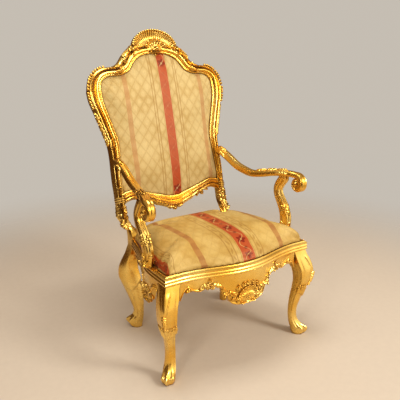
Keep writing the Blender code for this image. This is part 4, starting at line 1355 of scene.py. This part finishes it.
def seatRing(inset, height, scale=1.0):
    return padRing(seatOutline(), inset, scale, lambda x, y: Vector((x, y, height)))


def remeshed(name, body):
    mesh = bpy.data.meshes.new(name)
    body.to_mesh(mesh)
    body.free()
    piece = addObject(name, mesh)
    even = piece.modifiers.new("even", "REMESH")
    even.mode = "VOXEL"
    even.voxel_size = padSizes["voxel"]
    applyModifiers(piece)
    return piece


def applyModifiers(piece):
    graph = bpy.context.evaluated_depsgraph_get()
    mesh = bpy.data.meshes.new_from_object(piece.evaluated_get(graph))
    piece.modifiers.clear()
    piece.data = mesh


def readPlaces(piece):
    spots = np.empty(len(piece.data.vertices) * 3)
    piece.data.vertices.foreach_get("co", spots)
    return spots.reshape(-1, 3)


def swell(piece, held):
    # Blows the cover up from inside; held says which points are tacked down
    before = readPlaces(piece)
    tacked = piece.vertex_groups.new(name="tacked")
    tacked.add([int(i) for i in np.nonzero(held(before))[0]], 1.0, "REPLACE")
    cloth = piece.modifiers.new("cloth", "CLOTH")
    for key, value in coverSettings.items():
        setattr(cloth.settings, key, value)
    cloth.settings.effector_weights.gravity = 0
    cloth.collision_settings.use_collision = False
    cloth.point_cache.frame_start = 1
    cloth.point_cache.frame_end = padSizes["frames"]
    scene = bpy.context.scene
    for frameNumber in range(1, padSizes["frames"] + 1):
        scene.frame_set(frameNumber)
    applyModifiers(piece)
    scene.frame_set(1)
    move = readPlaces(piece) - before
    length = np.linalg.norm(move, axis=1, keepdims=True)
    move *= padSizes["cap"] * np.tanh(length / padSizes["cap"]) / np.maximum(length, 1e-9)
    piece.data.vertices.foreach_set("co", (before + move).ravel())
    piece.data.update()
    piece.vertex_groups.clear()


def layCloth(piece, flat):
    # Writes each corner's flat place, in metres, into the UV map the weave reads
    layer = piece.data.uv_layers.new(name="cloth")
    corner = np.empty(len(piece.data.loops), int)
    piece.data.loops.foreach_get("vertex_index", corner)
    layer.data.foreach_set("uv", flat[corner].ravel())


def finishPad(piece, material, node):
    piece.data.transform(Matrix.Translation(chairShift))
    piece.data.materials.clear()
    piece.data.materials.append(material)
    piece.data.shade_smooth()
    rounder = piece.modifiers.new("round", "SUBSURF")
    rounder.levels = 1
    rounder.render_levels = 1
    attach(piece, "root")
    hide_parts(node)


def seat():
    base = seatHeight + gap
    roll, rise = padSizes["roll"], padSizes["rise"]
    coarse = [seatRing(0.0, base), seatRing(0.0, base + 0.20 * roll),
              seatRing(0.003, base + 0.55 * roll), seatRing(0.014, base + 0.88 * roll),
              seatRing(0.040, mix(base + roll, base + rise, 0.30)),
              seatRing(0.0, mix(base + roll, base + rise, 0.66), 0.74),
              seatRing(0.0, mix(base + roll, base + rise, 0.90), 0.45),
              seatRing(0.0, mix(base + roll, base + rise, 0.98), 0.12)]
    body = loft(smooth([[tuple(spot) for spot in ring] for ring in coarse], 4))
    piece = remeshed("seat_cushion_stuffed", body)
    swell(piece, lambda spots: spots[:, 2] < base + 0.006)
    spots = readPlaces(piece)
    normals = np.empty(spots.size)
    piece.data.vertex_normals.foreach_get("vector", normals)
    normals = normals.reshape(-1, 3)
    # Keeps the cover on the rails and flat underneath
    spots[:, 2] = np.maximum(spots[:, 2], base)
    piece.data.vertices.foreach_set("co", spots.ravel())
    # The cloth runs on down the sides
    drop = spots[:, 2].max() - spots[:, 2]
    facing = normals[:, :2]
    layCloth(piece, spots[:, :2]
             + np.sign(facing) * drop[:, None] * np.clip(abs(facing), 0, 1) ** 2)
    finishPad(piece, seatDamask, "seat_cushion")


def backOutline():
    spots = [(row[0], row[1]) for row in smooth(crestEdges, 4)]
    lower = smooth(lowerRailHalf(), 4)
    top = lower[-1][1] * (1 + 1 / 60)
    spots += [(row[1], row[0]) for row in smooth(postEdges, 4)[-2::-1] if row[0] > top]
    return spots + [(row[0], row[1]) for row in reversed(lower)]


def backRing(inset, scale, depth):
    return padRing(backOutline(), inset, scale, lambda x, z: onBack(x, z, depth))


def backPad():
    sink, rise = padSizes["padSink"], padSizes["padRise"]
    deep = padSizes["panel"] + gap - backSizes["thick"] + 0.003
    coarse = [backRing(0.0, scale, depth) for scale, depth in (
        (1.00, deep), (1.00, -sink - 0.003), (0.997, -sink + 0.003), (0.965, -sink + 0.009),
        (0.86, rise - 0.007), (0.66, rise - 0.004), (0.40, rise - 0.003), (0.12, rise - 0.003))]
    body = loft(smooth([[tuple(spot) for spot in ring] for ring in coarse], 4))
    piece = remeshed("back_pad_stuffed", body)

    def depthOf(spots):
        foot = np.array(onBack(0, backSizes["footZ"]))
        return (spots - foot) @ np.array(backOut)

    swell(piece, lambda spots: depthOf(spots) < -sink + 0.002)
    spots = readPlaces(piece)
    along = (spots[:, 2] - backSizes["footZ"]) / cos(backSizes["rake"])
    layCloth(piece, np.stack([spots[:, 0], along], 1))
    finishPad(piece, backDamask, "back_pad")
    panel = loft([backRing(2 * gap, 1, depth - backSizes["thick"] + 0.003)
                  for depth in (0, padSizes["panel"])])
    finishPiece("outside_back_cloth", panel, plainWeave, "outside_back")


seat()
backPad()
frame["nodes"]["seat_board"].data.materials.clear()
frame["nodes"]["seat_board"].data.materials.append(plainWeave)
print("upholstery is stuffed")


# Floor, light and camera
lights = {"key": {"place": (1.4, -2.9, 2.4), "target": (0, 0, 0.7), "size": (0.9, 1.2),
                  "energy": 84, "colour": (1.0, 0.95, 0.87)},
          "overhead": {"place": (-0.3, 0.1, 3.2), "target": (0, 0, 0.5), "size": (1.2, 1.2),
                       "energy": 46, "colour": (1.0, 0.96, 0.9)},
          "left": {"place": (-2.4, -1.8, 1.9), "target": (0, 0, 0.8), "size": (0.35, 1.6),
                   "energy": 22, "colour": (1.0, 0.93, 0.82)}}
room = {"low": (0.10, 0.045, 0.018, 1), "high": (0.55, 0.43, 0.32, 1),
        "window": (1.7, 1.5, 1.25, 1), "windowWay": (0.60, -0.76, 0.24),
        "seen": (0.70, 0.64, 0.56, 1), "strength": 0.8}
view = {"place": (-1.148, -1.793, 1.21), "yaw": radians(33.08), "pitch": radians(-16.43),
        "lens": 46.8, "sensor": 36}


def makeStage():
    floor = bpy.data.meshes.new("floor")
    flat = bmesh.new()
    bmesh.ops.create_grid(flat, x_segments=1, y_segments=1, size=14)
    flat.to_mesh(floor)
    flat.free()
    ground = addObject("floor", floor)
    material, tree, shader = newMaterial("pale_floor")
    place = addNode(tree, "TexCoord").outputs["Object"]
    cloud = addNode(tree, "TexNoise", {"Vector": place, "Scale": 40, "Detail": 4}).outputs["Fac"]
    colour = blendColour(tree, cloud, (0.58, 0.50, 0.41, 1), (0.63, 0.55, 0.45, 1))
    tree.links.new(colour, shader.inputs["Base Color"])
    shader.inputs["Roughness"].default_value = 0.85
    # The floor fades into the backdrop away from the chair
    away = addNode(tree, "VectorMath", {0: place}, operation="LENGTH").outputs["Value"]
    tree.links.new(ramp(tree, away, 1.0, 2.6, 1.0, 0.0), shader.inputs["Alpha"])
    floor.materials.append(material)


def makeLight(name, place, target, size, energy, colour):
    lamp = bpy.data.lights.new(name, "AREA")
    lamp.shape = "RECTANGLE"
    lamp.size, lamp.size_y = size
    lamp.energy = energy
    lamp.color = colour
    holder = addObject(name, lamp)
    holder.location = place
    holder.rotation_mode = "QUATERNION"
    holder.rotation_quaternion = (Vector(target) - Vector(place)).to_track_quat("-Z", "Y")


def makeWorld():
    world = bpy.data.worlds.new("studio")
    bpy.context.scene.world = world
    world.use_nodes = True
    tree = world.node_tree
    back = tree.nodes["Background"]
    place = addNode(tree, "TexCoord").outputs["Generated"]
    height = addNode(tree, "SeparateXYZ", {0: place}).outputs[2]
    window = addNode(tree, "VectorMath", {0: place, 1: room["windowWay"]}, operation="DOT_PRODUCT")
    glow = blendColour(tree, ramp(tree, height, 0.05, 0.95), room["low"], room["high"])
    glow = blendColour(tree, ramp(tree, window.outputs["Value"], 0.60, 0.95), glow, room["window"])
    seen = addNode(tree, "LightPath").outputs["Is Camera Ray"]
    tree.links.new(blendColour(tree, seen, glow, room["seen"]), back.inputs["Color"])
    back.inputs["Strength"].default_value = room["strength"]


makeStage()
makeWorld()
for name, setting in lights.items():
    makeLight(name, **setting)

camera = addObject("camera", bpy.data.cameras.new("camera"))
camera.data.lens = view["lens"]
camera.data.sensor_width = view["sensor"]
camera.location = view["place"]
aim = Vector((sin(view["yaw"]) * cos(view["pitch"]), cos(view["yaw"]) * cos(view["pitch"]),
              sin(view["pitch"])))
camera.rotation_mode = "QUATERNION"
camera.rotation_quaternion = aim.to_track_quat("-Z", "Y")
bpy.context.scene.camera = camera
bpy.context.scene.view_settings.view_transform = "Standard"

print("done")
